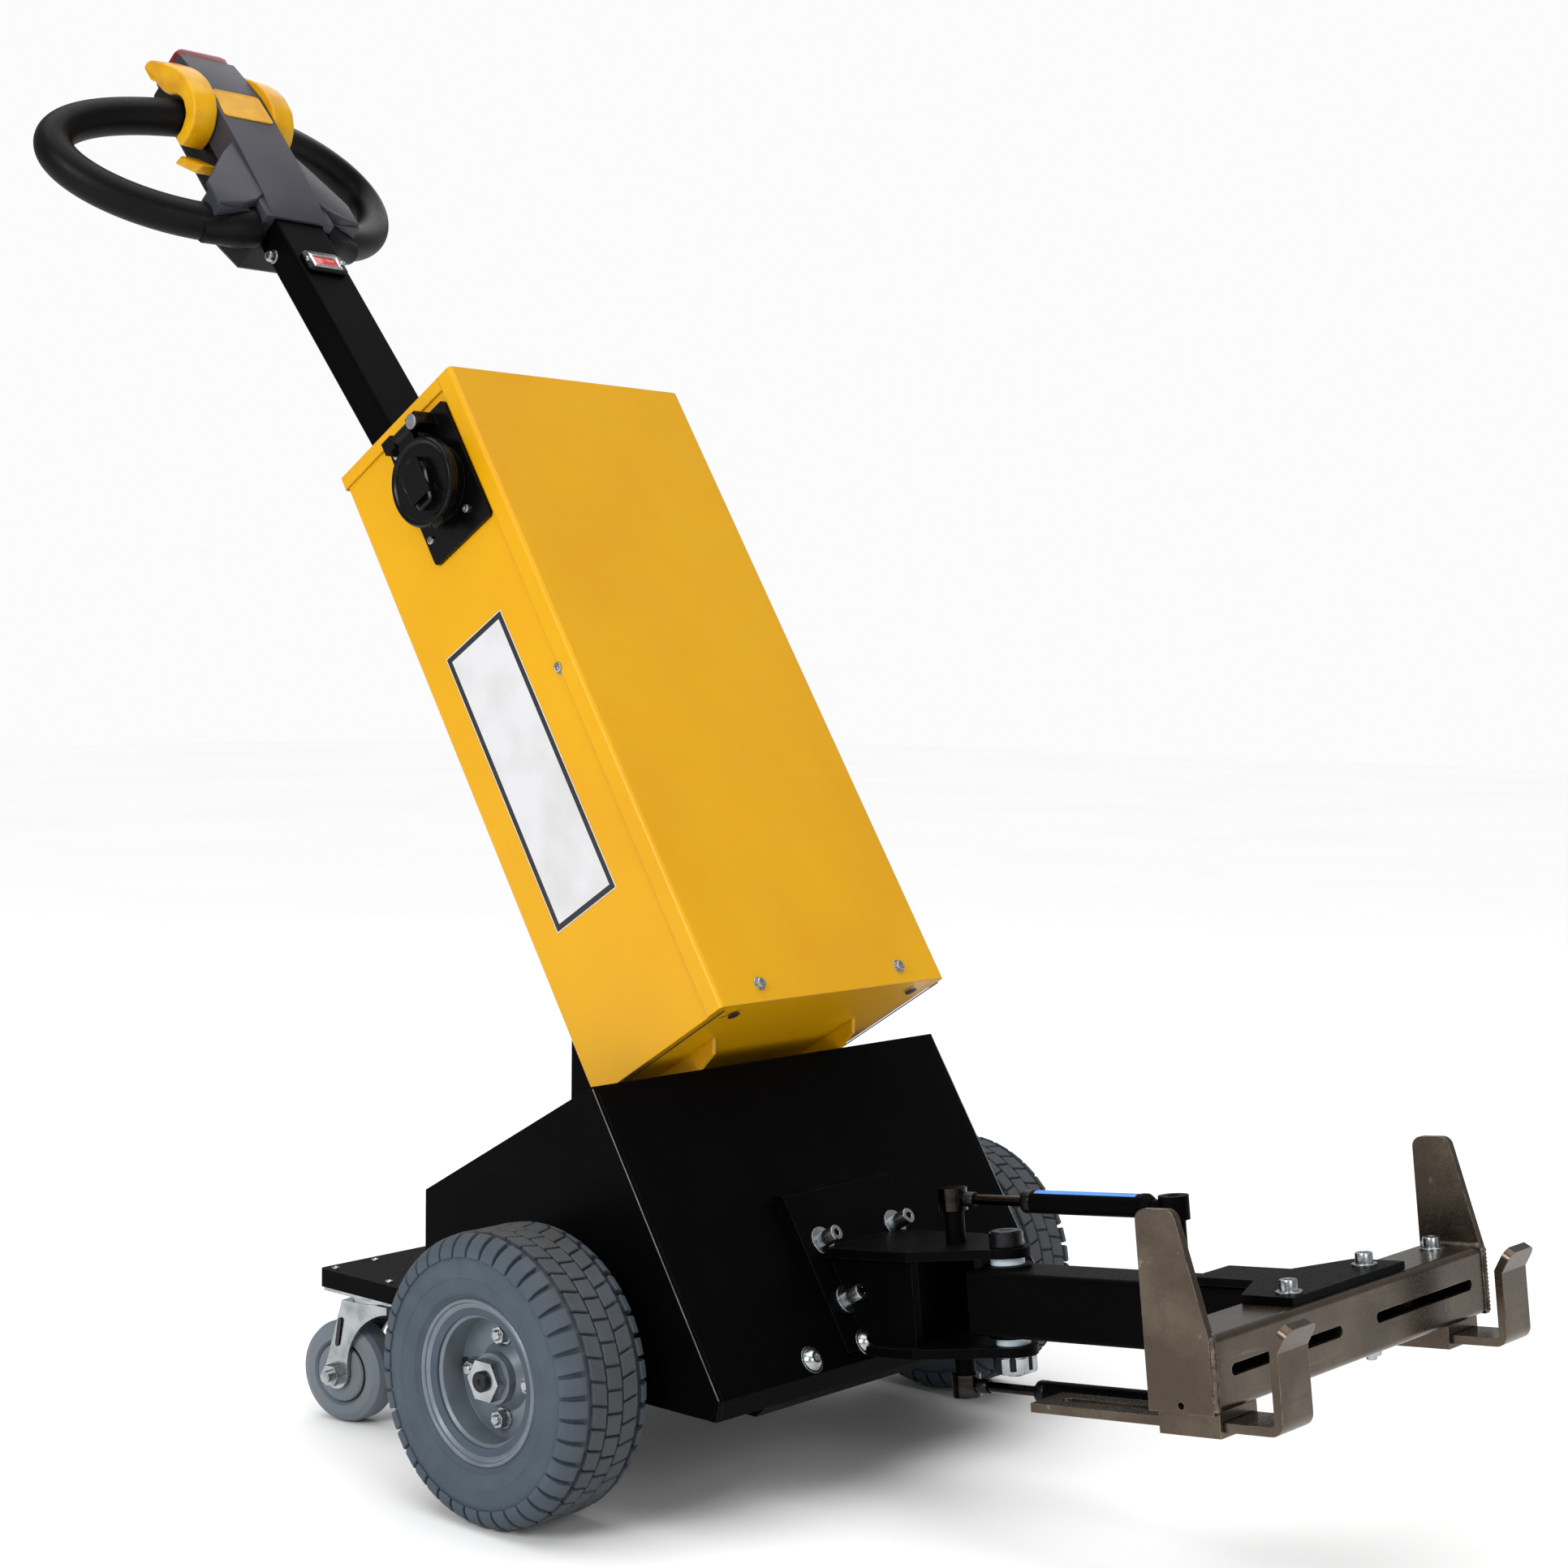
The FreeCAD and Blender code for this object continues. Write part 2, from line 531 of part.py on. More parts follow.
def boolean(kind, name, things):
    feature = DOC.addObject(kind, name)
    if kind == "Part::Cut":
        feature.Base, feature.Tool = things
    else:
        feature.Shapes = things
    return feature


# ---- chassis -------------------------------------------------------------------------------------

def side_plates():
    plate = new_body("side_plate", GROUND)
    sketch = new_sketch(plate, "XZ", f"{SHELL_HALF} - Dim.side_plate")
    draw_outline(sketch, [
        ("-Dim.shell_rear", "Dim.shell_bottom"),
        ("-Dim.shell_rear", "Dim.rear_height"),
        ("Dim.apex_x", "Dim.apex_height"),
        (NOSE_X, "Dim.nose_height"),
        (f"{NOSE_X} - Dim.nose_tuck", "Dim.shell_bottom"),
    ])
    draw_circle(sketch, "0", "Dim.tyre_diameter / 2", "Dim.axle_diameter / 2 + Dim.axle_hole_fit")
    pad(plate, sketch, "Dim.side_plate")
    both_sides("side_plates", plate)


def front_plate():
    """The sloping front, parallel to the battery box, with a short fold at its foot."""
    run = "Dim.cover_sheet / cos(Dim.box_tilt)"
    plate = new_body("front_plate", GROUND)
    sketch = new_sketch(plate, "XZ")
    draw_outline(sketch, [
        ("Dim.apex_x", "Dim.apex_height"),
        (NOSE_X, "Dim.nose_height"),
        (f"{NOSE_X} - Dim.nose_tuck", "Dim.shell_bottom"),
        (f"{NOSE_X} - Dim.nose_tuck - {run}", "Dim.shell_bottom"),
        (f"{NOSE_X} - {run}", "Dim.nose_height"),
        (f"Dim.apex_x - {run}", slope_z(f"Dim.apex_x - {run}")),
    ])
    pad(plate, sketch, "Dim.shell_width - 2 * Dim.side_plate", middle=True)
    keep(plate, "front_plate")


def rear_cover():
    """One folded sheet: the sloping top behind the ridge and the upright rear wall."""
    ridge = "(Dim.apex_x - Dim.cover_sheet / cos(Dim.box_tilt) - Dim.seat_gap)"
    inside = "(-Dim.shell_rear + Dim.cover_sheet)"
    drop = f"Dim.cover_sheet * sqrt(1 + ({SLOPE})^2)"
    cover = new_body("rear_cover", GROUND)
    sketch = new_sketch(cover, "XZ")
    draw_outline(sketch, [
        (ridge, slope_z(ridge)),
        ("-Dim.shell_rear", "Dim.rear_height"),
        ("-Dim.shell_rear", "Dim.shell_bottom"),
        (inside, "Dim.shell_bottom"),
        (inside, f"{slope_z(inside)} - {drop}"),
        (ridge, f"{slope_z(ridge)} - {drop}"),
    ])
    pad(cover, sketch, "Dim.shell_width - 2 * Dim.side_plate", middle=True)
    lap = new_sketch(cover, "YZ", "-Dim.shell_rear")
    half = f"({SHELL_HALF} - Dim.side_plate)"
    draw_rectangle(lap, f"-{half}", half, "Dim.shell_bottom", "Dim.rear_height - Dim.rear_lap_drop")
    pad(cover, lap, "Dim.rear_lap", backward=True)
    keep(cover, "rear_cover")


def belly_pan():
    """Bottom sheet of the shell with a shallow pan pressed down in its middle."""
    inner_rear = "-Dim.shell_rear + Dim.cover_sheet + Dim.seat_gap"
    inner_nose = f"{NOSE_X} - Dim.nose_tuck - 2 * Dim.cover_sheet"
    half = f"{SHELL_HALF} - Dim.side_plate - Dim.seat_gap"
    pan_rear = "-Dim.shell_rear + Dim.pan_margin"
    pan_nose = f"{NOSE_X} - Dim.pan_margin + Dim.pan_ramp"
    pan = new_body("belly_pan", GROUND)
    sheet = new_sketch(pan, "XY", "Dim.shell_bottom")
    draw_rectangle(sheet, inner_rear, inner_nose, f"-({half})", half)
    pad(pan, sheet, "Dim.cover_sheet")
    tray = new_sketch(pan, "XZ")
    draw_outline(tray, [
        (pan_rear, "Dim.shell_bottom"),
        (f"{pan_rear} + Dim.pan_ramp", "Dim.shell_bottom - Dim.pan_drop"),
        (f"{pan_nose} - Dim.pan_ramp", "Dim.shell_bottom - Dim.pan_drop"),
        (pan_nose, "Dim.shell_bottom"),
    ])
    pad(pan, tray, "Dim.pan_width", middle=True)
    hollow = new_sketch(pan, "XY", "Dim.shell_bottom + Dim.cover_sheet")
    inset = "Dim.pan_ramp + Dim.cover_sheet"
    side = "Dim.pan_width / 2 - Dim.cover_sheet"
    draw_rectangle(hollow, f"{pan_rear} + {inset}", f"{pan_nose} - {inset}", f"-({side})", side)
    pocket(pan, hollow, "Dim.pan_drop")
    keep(pan, "belly_pan")


def rear_platform():
    """A tray with folded edges, and a solid pad at each rear corner for its caster."""
    rear = "(-Dim.shell_rear - Dim.platform_length)"
    tray = new_body("rear_platform", GROUND)
    top = new_sketch(tray, "XY", "Dim.platform_top - Dim.platform_sheet")
    draw_rectangle(top, rear, PLATFORM_FRONT, f"-{SHELL_HALF}", SHELL_HALF)
    pad(tray, top, "Dim.platform_sheet")
    folds = new_sketch(tray, "XY", "Dim.platform_top - Dim.platform_depth")
    draw_rectangle(folds, rear, PLATFORM_FRONT, f"-{SHELL_HALF}", SHELL_HALF)
    inner = f"({SHELL_HALF} - Dim.platform_sheet)"
    draw_rectangle(folds, f"{rear} + Dim.platform_sheet", f"{PLATFORM_FRONT} - Dim.platform_sheet",
                   f"-{inner}", inner)
    pad(tray, folds, "Dim.platform_depth")
    pads = new_sketch(tray, "XY", "Dim.platform_top - Dim.platform_depth")
    reach = "Dim.caster_plate_long / 2"
    for side in ("", "-"):
        edge = f"{side}({SHELL_HALF} - Dim.platform_sheet / 2)"
        within = f"{side}(Dim.caster_y - Dim.caster_plate_wide / 2)"
        draw_rectangle(pads, f"{rear} + Dim.platform_sheet / 2", f"-Dim.caster_x + {reach}", within, edge)
    pad(tray, pads, "Dim.platform_depth - Dim.platform_sheet / 2")
    far = number(rear)
    fillet(tray, lambda at, run: abs(at.x - far) < 0.01 and abs(run.z) > 10, "Dim.platform_corner")
    keep(tray, "rear_platform")


def cradle():
    """Folded support that wedges the battery box's back wall onto the shell's slope."""
    back = "(-Dim.cradle_x)"
    rear_x = f"({BOX_REAR_X} - Dim.seat_gap)"
    wedge_top = f"({BOX_REAR_Z} + ({BOX_REAR_X} - Dim.seat_gap - {back}) / tan(Dim.box_tilt))"
    wedge = new_body("cradle", GROUND)
    sketch = new_sketch(wedge, "XZ")
    draw_outline(sketch, [
        (back, slope_z(back)),
        (rear_x, slope_z(rear_x)),
        (rear_x, BOX_REAR_Z),
        (back, wedge_top),
    ])
    pad(wedge, sketch, "Dim.cradle_width", middle=True)
    inside = f"({back} + Dim.cradle_sheet)"
    hollow = new_sketch(wedge, "XZ")
    draw_outline(hollow, [
        (inside, f"{slope_z(inside)} - Dim.cradle_width / 10"),
        (f"{rear_x} + Dim.cradle_width / 10", f"{slope_z(rear_x)} - Dim.cradle_width / 10"),
        (f"{rear_x} + Dim.cradle_width / 10", f"{BOX_REAR_Z} + Dim.cradle_sheet"),
        (inside, f"{wedge_top} + Dim.cradle_width / 10"),
    ])
    pocket(wedge, hollow, "Dim.cradle_width - 2 * Dim.cradle_sheet", middle=True)
    keep(wedge, "cradle")


# ---- battery box ---------------------------------------------------------------------------------

def box_shell():
    """Rear wall and two side walls in one folded sheet."""
    front = "-(Dim.box_sheet + Dim.seat_gap)"
    thin = "Dim.box_sheet"
    shell = new_body("box_shell", BOX)
    sketch = new_sketch(shell, "XY")
    draw_outline(sketch, [
        (front, f"-{WALL_HALF}"),
        ("-Dim.box_depth", f"-{WALL_HALF}"),
        ("-Dim.box_depth", WALL_HALF),
        (front, WALL_HALF),
        (front, f"{WALL_HALF} - {thin}"),
        (f"-Dim.box_depth + {thin}", f"{WALL_HALF} - {thin}"),
        (f"-Dim.box_depth + {thin}", f"-{WALL_HALF} + {thin}"),
        (front, f"-{WALL_HALF} + {thin}"),
    ])
    pad(shell, sketch, "Dim.box_length - Dim.box_sheet - Dim.seat_gap")
    rear = -number("Dim.box_depth")
    wall = number(WALL_HALF)
    fillet(shell, lambda at, run: abs(at.x - rear) < 0.01 and abs(abs(at.y) - wall) < 0.01
           and abs(run.z) > 100, "Dim.bend_radius - Dim.seat_gap")
    keep(shell, "box_shell")


def box_front_cover():
    """Front sheet whose long edges wrap round over the side walls."""
    half = "Dim.box_width / 2"
    thin = "Dim.box_sheet"
    cover = new_body("box_front_cover", BOX)
    sketch = new_sketch(cover, "XY")
    draw_outline(sketch, [
        ("0", f"-{half}"),
        ("0", half),
        ("-Dim.cover_return", half),
        ("-Dim.cover_return", f"{half} - {thin}"),
        (f"-{thin}", f"{half} - {thin}"),
        (f"-{thin}", f"-{half} + {thin}"),
        ("-Dim.cover_return", f"-{half} + {thin}"),
        ("-Dim.cover_return", f"-{half}"),
    ])
    pad(cover, sketch, "Dim.box_length")
    edge = number(half)
    fillet(cover, lambda at, run: abs(at.x) < 0.01 and abs(abs(at.y) - edge) < 0.01
           and abs(run.z) > 100, "Dim.bend_radius")
    keep(cover, "box_front_cover")


def box_top_cap():
    """Lid of the box, with a lip down over the rear wall and both side walls."""
    half = "Dim.box_width / 2"
    front = "-(Dim.box_sheet + Dim.seat_gap)"
    lap = "-(Dim.cover_return + Dim.seat_gap)"
    cap = new_body("box_top_cap", BOX)
    top = new_sketch(cap, "XY", "Dim.box_length - Dim.box_sheet")
    inner = f"({half} - Dim.box_sheet - Dim.seat_gap)"
    draw_outline(top, [
        (front, f"-{inner}"),
        (front, inner),
        (lap, inner),
        (lap, half),
        (f"-{CAP_BACK}", half),
        (f"-{CAP_BACK}", f"-{half}"),
        (lap, f"-{half}"),
        (lap, f"-{inner}"),
    ])
    pad(cap, top, "Dim.box_sheet")
    lips = new_sketch(cap, "XY", "Dim.box_length - Dim.cap_lip")
    thin = "Dim.box_sheet"
    draw_outline(lips, [
        (lap, half),
        (f"-{CAP_BACK}", half),
        (f"-{CAP_BACK}", f"-{half}"),
        (lap, f"-{half}"),
        (lap, f"-{half} + {thin}"),
        (f"-{CAP_BACK} + {thin}", f"-{half} + {thin}"),
        (f"-{CAP_BACK} + {thin}", f"{half} - {thin}"),
        (lap, f"{half} - {thin}"),
    ])
    pad(cap, lips, "Dim.cap_lip")
    back = -number(CAP_BACK)
    edge = number(half)
    fillet(cap, lambda at, run: abs(at.x - back) < 0.01 and abs(abs(at.y) - edge) < 0.01
           and abs(run.z) > 5, "Dim.bend_radius")
    keep(cap, "box_top_cap")


def box_bottom_plate():
    side = f"({WALL_HALF} - Dim.box_sheet - Dim.seat_gap)"
    plate = new_body("box_bottom_plate", BOX)
    sketch = new_sketch(plate, "XY")
    draw_rectangle(sketch, "-Dim.box_depth + Dim.box_sheet + Dim.seat_gap",
                   "-Dim.box_sheet - Dim.seat_gap", f"-{side}", side)
    draw_circle(sketch, "-Dim.box_depth / 7", f"-{side} + Dim.box_depth / 9", "Dim.bend_radius")
    pad(plate, sketch, "Dim.box_sheet")
    keep(plate, "box_bottom_plate")


def box_gussets():
    """Two upright plates that carry the box's floor on the shell's slope."""
    rear = f"({BOX_REAR_X} + 2 * Dim.cradle_sheet)"
    front = "(Dim.apex_x + Dim.gusset_reach)"
    gusset = new_body("box_gusset", GROUND)
    sketch = new_sketch(gusset, "XZ", "Dim.gusset_y")
    draw_outline(sketch, [
        (rear, slope_z(rear)),
        ("Dim.apex_x", "Dim.apex_height"),
        (front, f"{box_floor_z(front)} - Dim.gusset_nose"),
        (front, box_floor_z(front)),
        (rear, box_floor_z(rear)),
    ])
    pad(gusset, sketch, "Dim.gusset_sheet", middle=True)
    both_sides("box_gussets", gusset)


def battery_pack():
    rear = "(-Dim.box_depth + Dim.box_sheet + Dim.seat_gap)"
    pack = new_body("battery_pack", BOX)
    sketch = new_sketch(pack, "XY", "Dim.box_sheet")
    draw_rectangle(sketch, rear, f"{rear} + Dim.battery_depth",
                   "-Dim.battery_width / 2", "Dim.battery_width / 2")
    pad(pack, sketch, "Dim.battery_length")
    keep(pack, "battery_pack")


# ---- charging inlet ------------------------------------------------------------------------------

LID_BASE = f"({WALL_HALF} + Dim.inlet_plate_t + Dim.socket_height + Dim.seat_gap)"
LID_TOP_EDGE = "(Dim.inlet_z + Dim.lid_hinge_z)"
HINGE_Y = f"({LID_BASE} + Dim.lid_thickness / 2)"


def inlet_plate():
    """Square plate on the right wall with the socket's barrel and two hinge ears."""
    half_x = "Dim.inlet_plate_x / 2"
    half_z = "Dim.inlet_plate_z / 2"
    plate = new_body("inlet_plate", BOX)
    flat = new_sketch(plate, "XZ", WALL_HALF)
    draw_rectangle(flat, f"-Dim.inlet_x - {half_x}", f"-Dim.inlet_x + {half_x}",
                   f"Dim.inlet_z - {half_z}", f"Dim.inlet_z + {half_z}")
    pad(plate, flat, "Dim.inlet_plate_t")
    fillet(plate, lambda at, run: abs(run.x) < 0.1 and abs(run.z) < 0.1, "Dim.bend_radius")
    barrel = new_sketch(plate, "XZ", f"{WALL_HALF} + Dim.inlet_plate_t")
    draw_circle(barrel, "-Dim.inlet_x", "Dim.inlet_z", "Dim.socket_diameter / 2")
    pad(plate, barrel, "Dim.socket_height")
    mouth = new_sketch(plate, "XZ", f"{WALL_HALF} + Dim.inlet_plate_t + Dim.socket_height")
    draw_circle(mouth, "-Dim.inlet_x", "Dim.inlet_z", "Dim.socket_diameter / 2 - Dim.socket_wall")
    pocket(plate, mouth, "Dim.socket_height", backward=False)
    ears = new_sketch(plate, "XZ", f"{WALL_HALF} + Dim.inlet_plate_t / 2")
    inner = "(Dim.lid_knuckle / 2 + Dim.seat_gap)"
    tall = "Dim.lid_hinge_d / 2"
    for side in ("", "-"):
        draw_rectangle(ears, f"-Dim.inlet_x + {side}{inner}",
                       f"-Dim.inlet_x + {side}({inner} + Dim.lid_ear)",
                       f"{LID_TOP_EDGE} - {tall}", f"{LID_TOP_EDGE} + {tall}")
    pad(plate, ears, f"{HINGE_Y} + {tall} - {WALL_HALF} - Dim.inlet_plate_t / 2")
    bore = new_sketch(plate, "YZ", f"-Dim.inlet_x - {inner} - Dim.lid_ear - Dim.overlap")
    draw_circle(bore, f"-{HINGE_Y}", LID_TOP_EDGE, "Dim.lid_hinge_pin / 2")
    pocket(plate, bore, f"2 * ({inner} + Dim.lid_ear + Dim.overlap)", backward=True)
    keep(plate, "inlet_plate")


def inlet_lid():
    """Round flip lid with a raised grip, its knuckle and its hinge pin."""
    lid = new_body("inlet_lid", BOX)
    disc = new_sketch(lid, "XZ", LID_BASE)
    draw_circle(disc, "-Dim.inlet_x", "Dim.inlet_z", "Dim.lid_diameter / 2")
    pad(lid, disc, "Dim.lid_thickness")
    grip = new_sketch(lid, "XZ", f"{LID_BASE} + Dim.lid_thickness")
    draw_rectangle(grip, "-Dim.inlet_x - Dim.lid_grip_x / 2", "-Dim.inlet_x + Dim.lid_grip_x / 2",
                   "Dim.inlet_z - Dim.lid_grip_z / 2", "Dim.inlet_z + Dim.lid_grip_z / 2")
    pad(lid, grip, "Dim.lid_grip_t")
    tab = new_sketch(lid, "XZ", LID_BASE)
    draw_rectangle(tab, "-Dim.inlet_x - Dim.lid_knuckle / 2", "-Dim.inlet_x + Dim.lid_knuckle / 2",
                   "Dim.inlet_z", LID_TOP_EDGE)
    pad(lid, tab, "Dim.lid_thickness")
    knuckle = new_sketch(lid, "YZ", "-Dim.inlet_x")
    draw_circle(knuckle, f"-{HINGE_Y}", LID_TOP_EDGE, "Dim.lid_hinge_d / 2")
    pad(lid, knuckle, "Dim.lid_knuckle", middle=True)
    pin = new_sketch(lid, "YZ", "-Dim.inlet_x")
    draw_circle(pin, f"-{HINGE_Y}", LID_TOP_EDGE, "Dim.lid_hinge_pin / 2 - Dim.running_fit")
    pad(lid, pin, "Dim.lid_knuckle + 2 * Dim.lid_ear", middle=True)
    keep(lid, "inlet_lid")


# ---- tiller --------------------------------------------------------------------------------------

def tiller_bracket():
    """Plate on the box's rear wall with a cheek each side of the tube."""
    half = "Dim.bracket_width / 2"
    far = f"-{BEHIND} - Dim.cheek_reach"
    bracket = new_body("tiller_bracket", BOX)
    plate = new_sketch(bracket, "YZ", f"-{BEHIND}")
    draw_rectangle(plate, f"-{half}", half, "Dim.bracket_low", "Dim.bracket_high")
    pad(bracket, plate, "Dim.bracket_sheet - Dim.seat_gap")
    for side in ("", "-"):
        cheek = new_sketch(bracket, "XZ", f"{side}(Dim.tube_width / 2 + Dim.seat_gap)")
        draw_outline(cheek, [
            (f"-{BEHIND} + Dim.overlap", "Dim.bracket_low + Dim.cheek_low"),
            (f"-{BEHIND} + Dim.overlap", "Dim.bracket_high - Dim.cheek_high"),
            (far, "Dim.bracket_high - Dim.cheek_high - Dim.cheek_high_slope"),
            (far, "Dim.bracket_low + Dim.cheek_low + Dim.cheek_low_slope"),
        ])
        pad(bracket, cheek, "Dim.bracket_sheet", backward=side == "-")
    keep(bracket, "tiller_bracket")


def tiller_tube():
    """Rectangular tube, cut at its foot to lie along the bracket's plate."""
    half = "Dim.tube_width / 2"
    tube = new_body("tiller_tube", TILLER)
    side = new_sketch(tube, "XZ")
    gap = "Dim.seat_gap / sin(Dim.tiller_lean)"
    draw_outline(side, [
        ("0", gap),
        ("0", "Dim.tube_length"),
        ("-Dim.tube_depth", "Dim.tube_length"),
        ("-Dim.tube_depth", f"{gap} - Dim.tube_depth / tan(Dim.tiller_lean)"),
    ])
    pad(tube, side, "Dim.tube_width", middle=True)
    wide = number(half)
    fillet(tube, lambda at, run: abs(abs(at.y) - wide) < 0.01 and abs(run.x) < 0.01, "Dim.tube_wall")
    bore = new_sketch(tube, "XY", "Dim.tube_length")
    inner = f"{half} - Dim.tube_wall"
    draw_rectangle(bore, "-Dim.tube_depth + Dim.tube_wall", "-Dim.tube_wall", f"-({inner})", inner)
    pocket(tube, bore, "2 * Dim.tube_length", backward=False)
    keep(tube, "tiller_tube")


BASE_OUTLINE = [
    ("-Dim.head_half", "Dim.head_high"),
    ("Dim.head_half", "Dim.head_high"),
    ("Dim.head_half", "Dim.head_neck"),
    ("Dim.base_half", "Dim.arm_high"),
    ("Dim.base_half", "Dim.base_chamfer_top"),
    ("Dim.base_foot_half", "Dim.head_low"),
    ("-Dim.base_foot_half", "Dim.head_low"),
    ("-Dim.base_half", "Dim.base_chamfer_top"),
    ("-Dim.base_half", "Dim.arm_high"),
    ("-Dim.head_half", "Dim.head_neck"),
]
ARMS_OUTLINE = [
    ("-Dim.arm_half", "Dim.arm_low"),
    ("-Dim.arm_half", "Dim.arm_high"),
    ("-Dim.head_half", "Dim.head_neck"),
    ("Dim.head_half", "Dim.head_neck"),
    ("Dim.arm_half", "Dim.arm_high"),
    ("Dim.arm_half", "Dim.arm_low"),
]
TUNNEL_HALF = "(Dim.tube_width / 2 + Dim.seat_gap)"
TUNNEL_LENGTH = "(Dim.tube_length - Dim.head_low + Dim.seat_gap)"


def loop_tube(name, radius):
    """A bent tube along the loop's swept-back middle line, on the right-hand side."""
    tube = new_body(name, TILLER)
    path = new_sketch(tube, "YZ", "-Dim.grip_back")
    turned = FreeCAD.Rotation(FreeCAD.Vector(0, -1, 0), number("Dim.grip_sweep"))
    path.AttachmentOffset = FreeCAD.Placement(FreeCAD.Vector(), turned)
    path.setExpression("AttachmentOffset.Base.z", "-Dim.grip_back")
    path.setExpression("AttachmentOffset.Rotation.Angle", "Dim.grip_sweep")
    poles = [
        ("-Dim.loop_root", "Dim.loop_low"),
        ("-Dim.elbow_out", "Dim.elbow_up"),
        ("-Dim.bow_out", "Dim.bow_up"),
        ("-Dim.shoulder_out", "Dim.shoulder_up"),
        ("-Dim.loop_root", "Dim.loop_high"),
    ]
    curve = Part.BSplineCurve()
    curve.buildFromPolesMultsKnots([FreeCAD.Vector(number(a), number(b), 0) for a, b in poles],
                                   [4, 1, 4], [0, 1, 2], False, 3)
    path.addGeometry(curve, False)
    path.exposeInternalGeometry(0)
    for index, (a, b) in enumerate(poles, start=1):
        bind(path, "DistanceX", index, 3, a)
        bind(path, "DistanceY", index, 3, b)
    DOC.recompute()
    section = tube.newObject("Sketcher::SketchObject", f"{name}_section")
    section.AttachmentSupport = [(path, "Edge1")]
    section.MapMode = "NormalToEdge"
    section.MapPathParameter = 0
    draw_circle(section, "0", "0", radius)
    DOC.recompute()
    pipe = tube.newObject("PartDesign::AdditivePipe", f"{name}_pipe")
    pipe.Profile = section
    pipe.Spine = (path, ["Edge1"])
    DOC.recompute()
    return tube


def loop_room(name):
    """The space round both sides of the loop that the head's mouldings leave free."""
    right = loop_tube(f"{name}_right", "Dim.grip_diameter / 2 + Dim.seat_gap")
    left = DOC.addObject("Part::Mirroring", f"{name}_left")
    left.Source = right
    left.Base = FreeCAD.Vector(0, 0, 0)
    left.Normal = FreeCAD.Vector(0, 1, 0)
    return boolean("Part::MultiFuse", name, [right, left])


def cut_tunnel(body, front):
    tunnel = new_sketch(body, "XY", "Dim.head_low")
    draw_rectangle(tunnel, "-Dim.tube_depth - Dim.seat_gap", front, f"-{TUNNEL_HALF}", TUNNEL_HALF)
    pocket(body, tunnel, TUNNEL_LENGTH, backward=True)


def head_base():
    """Black housing of the head, open at its foot for the tube and hollowed for the loop's roots."""
    base = new_body("head_base_block", TILLER)
    outline = new_sketch(base, "YZ", "-Dim.head_back")
    draw_outline(outline, BASE_OUTLINE)
    pad(base, outline, "Dim.head_back - Dim.head_split")
    back = -number("Dim.head_back")
    fillet(base, lambda at, run: abs(at.x - back) < 0.01, "Dim.base_round")
    cut_tunnel(base, "0")
    keep(boolean("Part::Cut", "head_base", [base, loop_room("base_room")]), "head_base")


def head_cover():
    """Slate cover: a bulging spine with two arms at its foot that lie over the loop's roots."""
    cover = new_body("head_cover_block", TILLER)
    back = "(-Dim.head_split + Dim.seat_gap)"
    arms = new_sketch(cover, "YZ", back)
    draw_outline(arms, ARMS_OUTLINE)
    pad(cover, arms, f"-Dim.arm_front - {back}")
    tongue = new_sketch(cover, "YZ", back)
    draw_rectangle(tongue, "-Dim.tongue_half", "Dim.tongue_half", "Dim.cover_low", "Dim.arm_high")
    pad(cover, tongue, f"Dim.cover_foot - {back}")
    spine = new_sketch(cover, "XZ")
    draw_outline(spine, [
        (back, "Dim.cover_low"),
        ("Dim.cover_foot", "Dim.cover_low"),
        ("Dim.cover_knee", "Dim.cover_knee_z"),
        ("Dim.cover_front", "Dim.head_neck"),
        ("Dim.cover_front", "Dim.cover_full_z"),
        ("Dim.cover_front - Dim.cover_top_fall", "Dim.head_high"),
        (back, "Dim.head_high"),
    ])
    pad(cover, spine, "2 * Dim.head_half", middle=True)
    cut_tunnel(cover, "Dim.seat_gap")
    keep(boolean("Part::Cut", "head_cover", [cover, loop_room("cover_room")]), "head_cover")


def handle_loop():
    """Each side of the loop springs from the head's shoulder and returns to the head's side."""
    loop = loop_tube("handle_half", "Dim.grip_diameter / 2")
    inside = new_sketch(loop, "XZ", "Dim.head_half + Dim.seat_gap")
    reach = "2 * Dim.grip_diameter"
    draw_rectangle(inside, f"-{reach}", reach, "Dim.loop_low - " + reach, "Dim.loop_high + " + reach)
    pocket(loop, inside, "Dim.head_half")
    both_sides("handle_loop", loop)


def thumb_wings():
    """A yellow rocker round the loop's upper arm each side of the head."""
    wing = new_body("thumb_wing", TILLER)
    side = new_sketch(wing, "XZ", "Dim.head_half + Dim.lever_gap")
    draw_outline(side, [
        ("-Dim.lever_x", "Dim.lever_z + Dim.lever_up"),
        ("-Dim.lever_x + Dim.lever_front", "Dim.lever_z + Dim.lever_up / 2"),
        ("-Dim.lever_x + Dim.lever_front", "Dim.lever_z - Dim.lever_down / 4"),
        ("-Dim.lever_x + Dim.lever_front / 2", "Dim.lever_z - Dim.lever_down"),
        ("-Dim.lever_x - Dim.lever_back / 3", "Dim.lever_z - Dim.lever_down"),
        ("-Dim.lever_x - Dim.lever_back", "Dim.lever_z + Dim.lever_up / 3"),
    ])
    pad(wing, side, "Dim.lever_width")
    out = -number("Dim.head_half + Dim.lever_gap + Dim.lever_width")
    fillet(wing, lambda at, run: abs(at.y - out) < 0.01, "Dim.lever_round")
    room = loop_tube("lever_room", "Dim.grip_diameter / 2 + Dim.seat_gap")
    both_sides("thumb_wings", boolean("Part::Cut", "thumb_rocker", [wing, room]))


